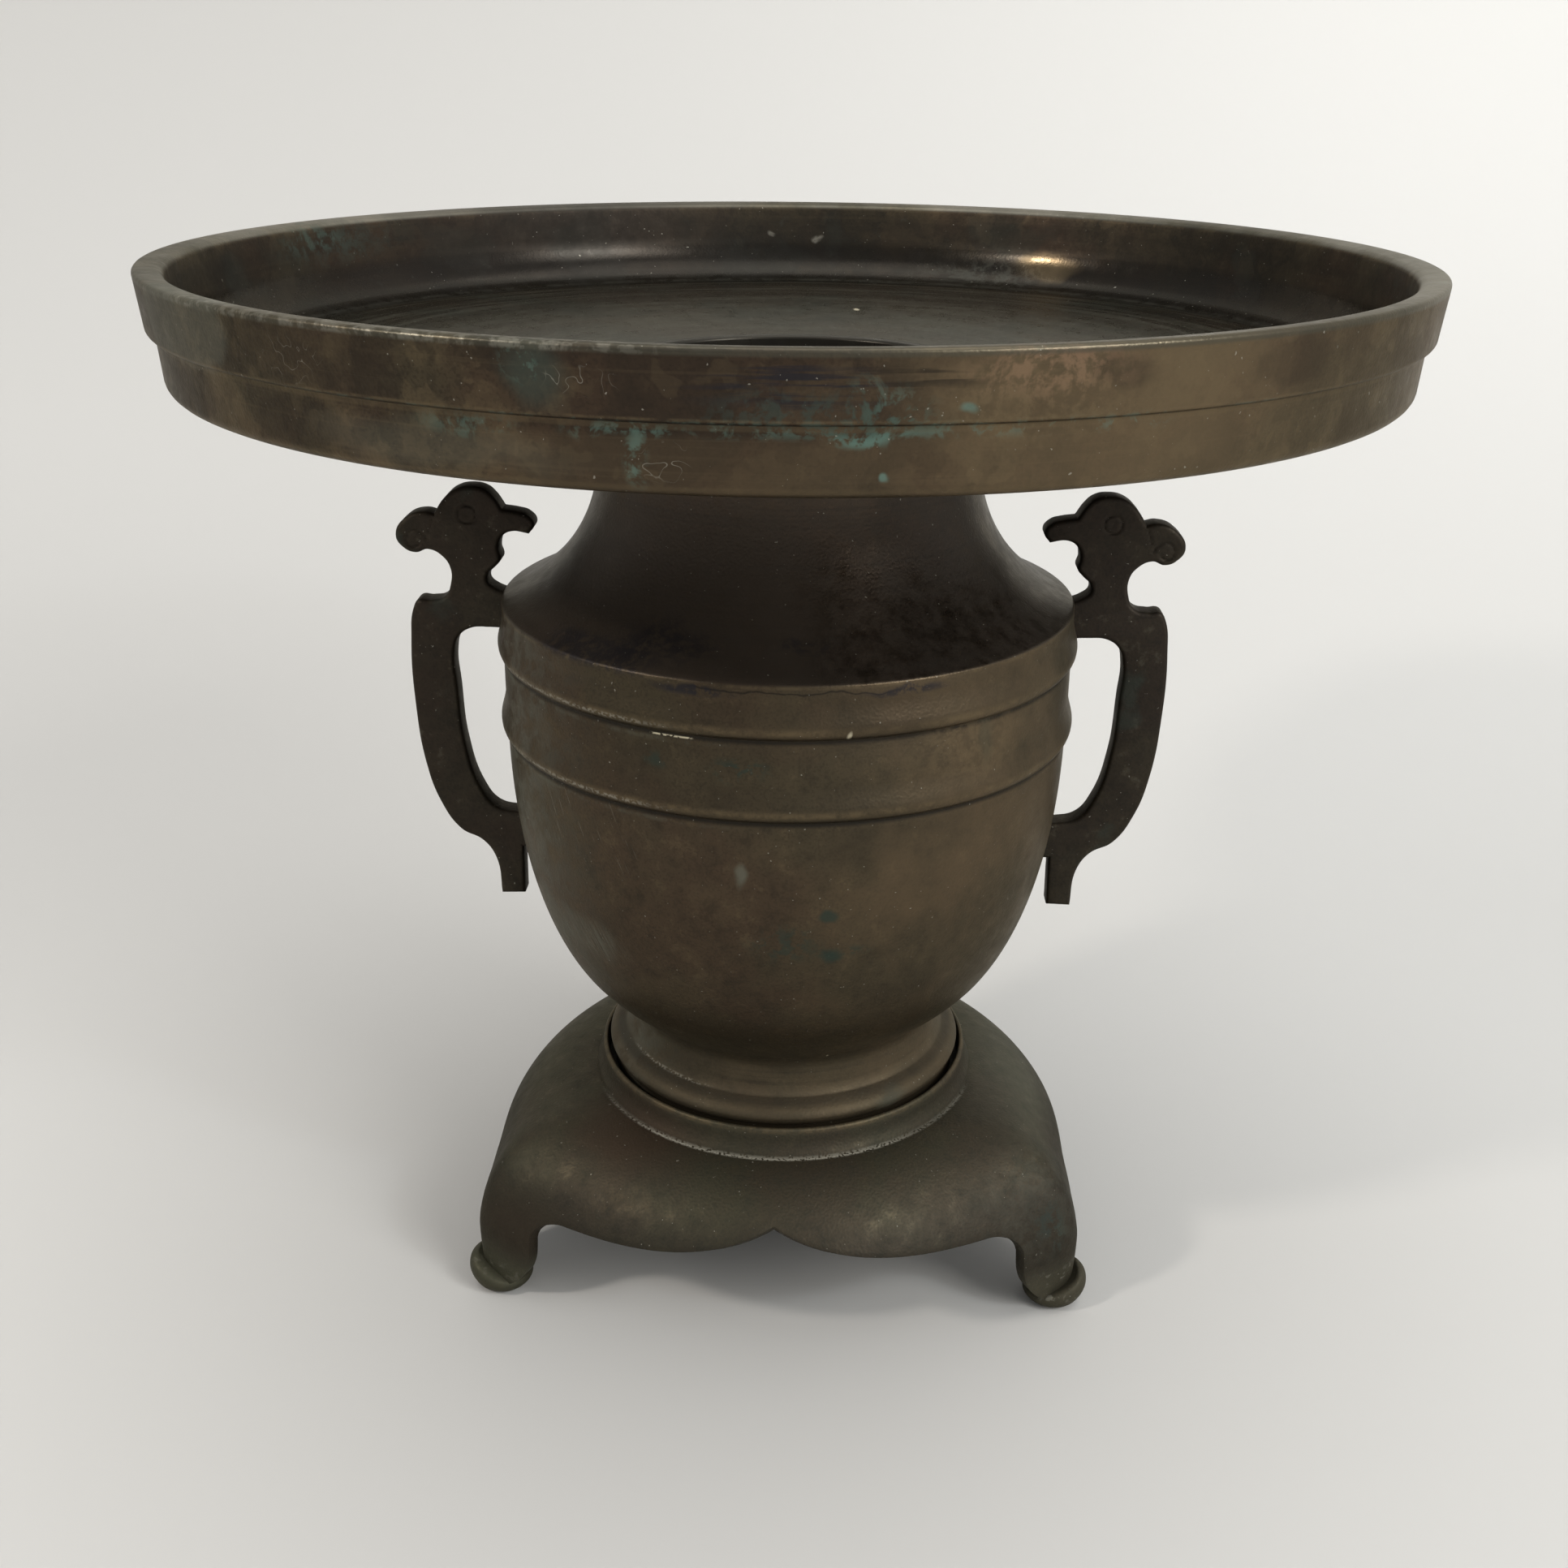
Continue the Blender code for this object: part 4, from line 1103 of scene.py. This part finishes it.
def finish_handle():
    """Dark grey-brown bars, a little redder at the left, with dust in the hollows."""
    patina = Patina("bronze_handle_patina")
    stain, crust, wear = patina.stain, patina.crust, patina.wear
    stain(SMOKE_AND_SHADE, patina.clouds.between(0.30, 0.60) * 0.25 + 0.50)
    stain(RUSSET, patina.x.between(0.0, -0.09) * patina.clouds.between(0.42, 0.60) * 0.14)
    wear(GOLD, patina.mottle.between(0.60, 0.72) * 0.10)
    crust(HAZE, patina.mottle.between(0.42, 0.30) * 0.14)
    crust(DARK_GREEN, patina.patches.between(0.58, 0.66) * 0.35)
    patina.specks(0.35)
    patina.rough = patina.rough + 0.10
    return patina.close(metal=0.70, strength=0.45)


STAND_STAINS = (
    (RUSSET, (-38.0, -42.0, 49.0), (16.0, 16.0, 6.0), 0.7, WHOLE, 0.75),
    (RUSSET, (-68.0, -52.0, 24.0), (14.0, 14.0, 9.0), 0.7, WHOLE, 0.55),
    (GOLD, (-41.0, -61.0, 39.0), (10.0, 8.0, 4.0), 0.7, (0.44, 0.60), 0.14),
)
STAND_CRUSTS = (
    (HAZE, (70.0, -45.0, 30.0), (20.0, 24.0, 13.0), 0.7, (0.34, 0.62), 0.26),
    (HAZE, (66.0, 0.0, 44.0), (18.0, 28.0, 8.0), 0.8, WHOLE, 0.30),
    (DARK_GREEN, (72.5, -49.7, 28.4), (4.0, 4.5, 4.0), 0.6, (0.42, 0.56), 0.85),
    (DARK_GREEN, (74.0, -46.0, 22.0), (4.0, 4.5, 3.0), 0.6, (0.42, 0.56), 0.75),
    (VERDIGRIS, (75.5, -45.0, 23.0), (3.0, 5.0, 5.0), 0.6, (0.46, 0.60), 0.40),
    (PALE, (74.5, -49.0, 11.6), (8.0, 6.0, 2.4), 0.6, (0.54, 0.64), 0.42),
    (PALE, (73.8, -53.0, 5.2), (6.0, 5.0, 1.6), 0.6, (0.55, 0.64), 0.36),
    (PALE, (-76.0, -50.0, 9.4), (8.0, 7.0, 2.0), 0.6, (0.48, 0.66), 0.22),
)


def finish_stand():
    """Grey-brown, redder by the collar, green-grey on the right leg, a light line at the collar's foot,
    and painted shade in the collar, under the seat, on the lower dome and at the toes' soles.
    """
    patina = Patina("bronze_stand_patina")
    stain, crust, wear = patina.stain, patina.crust, patina.wear
    radius, height, turn = patina.radius, patina.height, patina.turn
    stain(SMOKE_AND_SHADE, patina.clouds.between(0.30, 0.70) * 0.20 + 0.08)
    stain(UMBER, patina.patches.between(0.54, 0.62) * 0.35)
    stain(MOSS, patina.clouds.between(0.66, 0.30) * 0.20 + 0.24)
    crust(HAZE, patina.clouds.between(0.40, 0.66) * 0.06)
    patina.spread(stain, STAND_STAINS)
    patina.spread(crust, STAND_CRUSTS)

    foot_line = radius.near(0.0538, 0.0009) * height.near(0.0487, 0.0009)
    foot_line = foot_line * turn.within(-55.0, 62.0, 16.0) * patina.grain.between(0.30, 0.50)
    crust(PALE, foot_line * (turn.within(-34.0, 28.0, 16.0) * 0.36 + 0.36))
    rim = radius.within(0.0495, 0.0516, 0.0006) * height.between(0.0545, 0.0553)
    wear(GOLD, rim * patina.mottle.between(0.40, 0.60) * 0.40)
    # Painted shade on the collar's inner wall, in the gap round the vase's foot ring
    stain(SMOKE_AND_SHADE, radius.between(0.0505, 0.0500) * height.between(0.0560, 0.0530) * 0.70)
    side = radius.within(0.0515, 0.0536, 0.0008) * height.within(0.0495, 0.0540, 0.0010)
    stain(SMOKE_AND_SHADE, side * 0.22)
    # Painted contact shade at the toes' soles, by the floor
    stain(SMOKE_AND_SHADE, height.between(0.0040, 0.0010) * 0.30)
    crust(MOSS, height.between(0.0200, 0.0110) * 0.30)
    # Painted shade on the lower dome and apron
    stain(SMOKE_AND_SHADE, height.within(0.0180, 0.0340, 0.0090) * 0.48)
    # Painted shade under the seat ring, inside the stand
    stain(SMOKE_AND_SHADE, radius.between(0.0500, 0.0400) * height.between(0.0440, 0.0420) * 0.5)
    patina.specks(0.40)
    patina.rough = patina.rough + 0.12
    return patina.close(metal=0.74, strength=0.45)


# Studio
# The camera, fitted to the photograph
CAMERA_LENS = 40.178
CAMERA_DISTANCE = 0.43683
CAMERA_HEIGHT = 0.31506
CAMERA_SIDE = math.radians(1.6)
CAMERA_SWING = 2.8 / 2156.2
CAMERA_DROP = 22.706
CAMERA_ROLL = math.radians(0.5515)


def build_studio():
    """Pale paper that curves up behind, a broad light above, a window, three lamps and a soft surround."""
    section = eased([(-1.6, 0.0, 0.0), (0.62, 0.0, 0.42), (1.05, 1.3, 0.0)], 24)
    shape = bmesh.new()
    line = [shape.verts.new((-2.2, along, height)) for along, height in section]
    edges = [shape.edges.new(pair) for pair in zip(line, line[1:])]
    wide = bmesh.ops.extrude_edge_only(shape, edges=edges)
    moved = [item for item in wide["geom"] if isinstance(item, bmesh.types.BMVert)]
    bmesh.ops.translate(shape, verts=moved, vec=(4.4, 0.0, 0.0))
    bmesh.ops.recalc_face_normals(shape, faces=shape.faces)
    mesh = as_mesh("paper_floor", shape)
    mesh.shade_smooth()
    floor = in_scene("paper_floor", mesh)
    paper = bpy.data.materials.new("pale_paper")
    paper.use_nodes = True
    surface = paper.node_tree.nodes["Principled BSDF"]
    surface.inputs["Base Color"].default_value = (0.52, 0.515, 0.495, 1.0)
    surface.inputs["Roughness"].default_value = 0.85
    mesh.materials.append(paper)

    for name, place_at, aim, size, power, colour in (
        ("ceiling_light", (0.10, 0.10, 2.00), (0.0, 0.1, 0.0), 1.6, 16.0, (1.0, 0.99, 0.97)),
        ("right_window", (1.35, -1.15, 1.25), (0.0, 0.0, 0.12), 0.9, 22.0, (1.0, 0.98, 0.95)),
        ("left_lamp", (-0.90, -0.52, 0.855), (0.0, 0.1, 0.25), 0.11, 5.2, (1.0, 0.93, 0.86)),
        ("right_lamp", (0.82, -0.64, 0.855), (0.0, 0.1, 0.25), 0.09, 1.5, (0.85, 0.93, 1.0)),
        ("backdrop_wash", (0.55, -0.10, 1.25), (0.60, 1.05, 0.50), 0.80, 2.0, (1.0, 1.0, 1.0)),
    ):
        light = bpy.data.lights.new(name, "AREA")
        light.shape = "SQUARE"
        light.size = size
        light.energy = power
        light.color = colour
        light.spread = math.radians(70.0 if name == "backdrop_wash" else 180.0)
        lamp = in_scene(name, light)
        lamp.location = place_at
        lamp.rotation_euler = (Vector(aim) - Vector(place_at)).to_track_quat("-Z", "Y").to_euler()

    world = bpy.data.worlds.new("soft_room")
    world.use_nodes = True
    tree = world.node_tree
    across, depth, up = Flow(tree, tree.nodes.new("ShaderNodeTexCoord").outputs["Generated"]).parts()
    level = across.between(-0.9, 0.9) * 0.35 + depth.between(-0.8, 0.8) * 0.25
    level = level + up.between(0.0, 0.9) * 0.10 + 0.35
    background = tree.nodes["Background"]
    background.inputs["Color"].default_value = (0.97, 0.98, 1.0, 1.0)
    tree.links.new(level.socket, background.inputs["Strength"])
    bpy.context.scene.world = world
    bpy.context.scene.view_settings.view_transform = "Standard"


def place_camera():
    """Camera at the photograph's angle: 22.7 degrees down from the front, a little to the right."""
    camera = bpy.data.cameras.new("camera")
    camera.sensor_width = 36.0
    camera.lens = CAMERA_LENS
    holder = in_scene("camera", camera)
    across = CAMERA_DISTANCE * math.sin(CAMERA_SIDE)
    back = CAMERA_DISTANCE * math.cos(CAMERA_SIDE)
    holder.location = (across, -back, CAMERA_HEIGHT)
    heading = Matrix.Rotation(CAMERA_SIDE + CAMERA_SWING, 4, "Z")
    tilt = Matrix.Rotation(math.radians(90.0 - CAMERA_DROP), 4, "X")
    roll = Matrix.Rotation(CAMERA_ROLL, 4, "Z")
    holder.rotation_euler = (heading @ tilt @ roll).to_euler()
    bpy.context.scene.camera = holder


build_dish().data.materials.append(finish_dish())
build_vase().data.materials.append(finish_body())
handle_finish = finish_handle()
for handle in build_handles():
    handle.data.materials.append(handle_finish)
build_stand().data.materials.append(finish_stand())
build_studio()
place_camera()
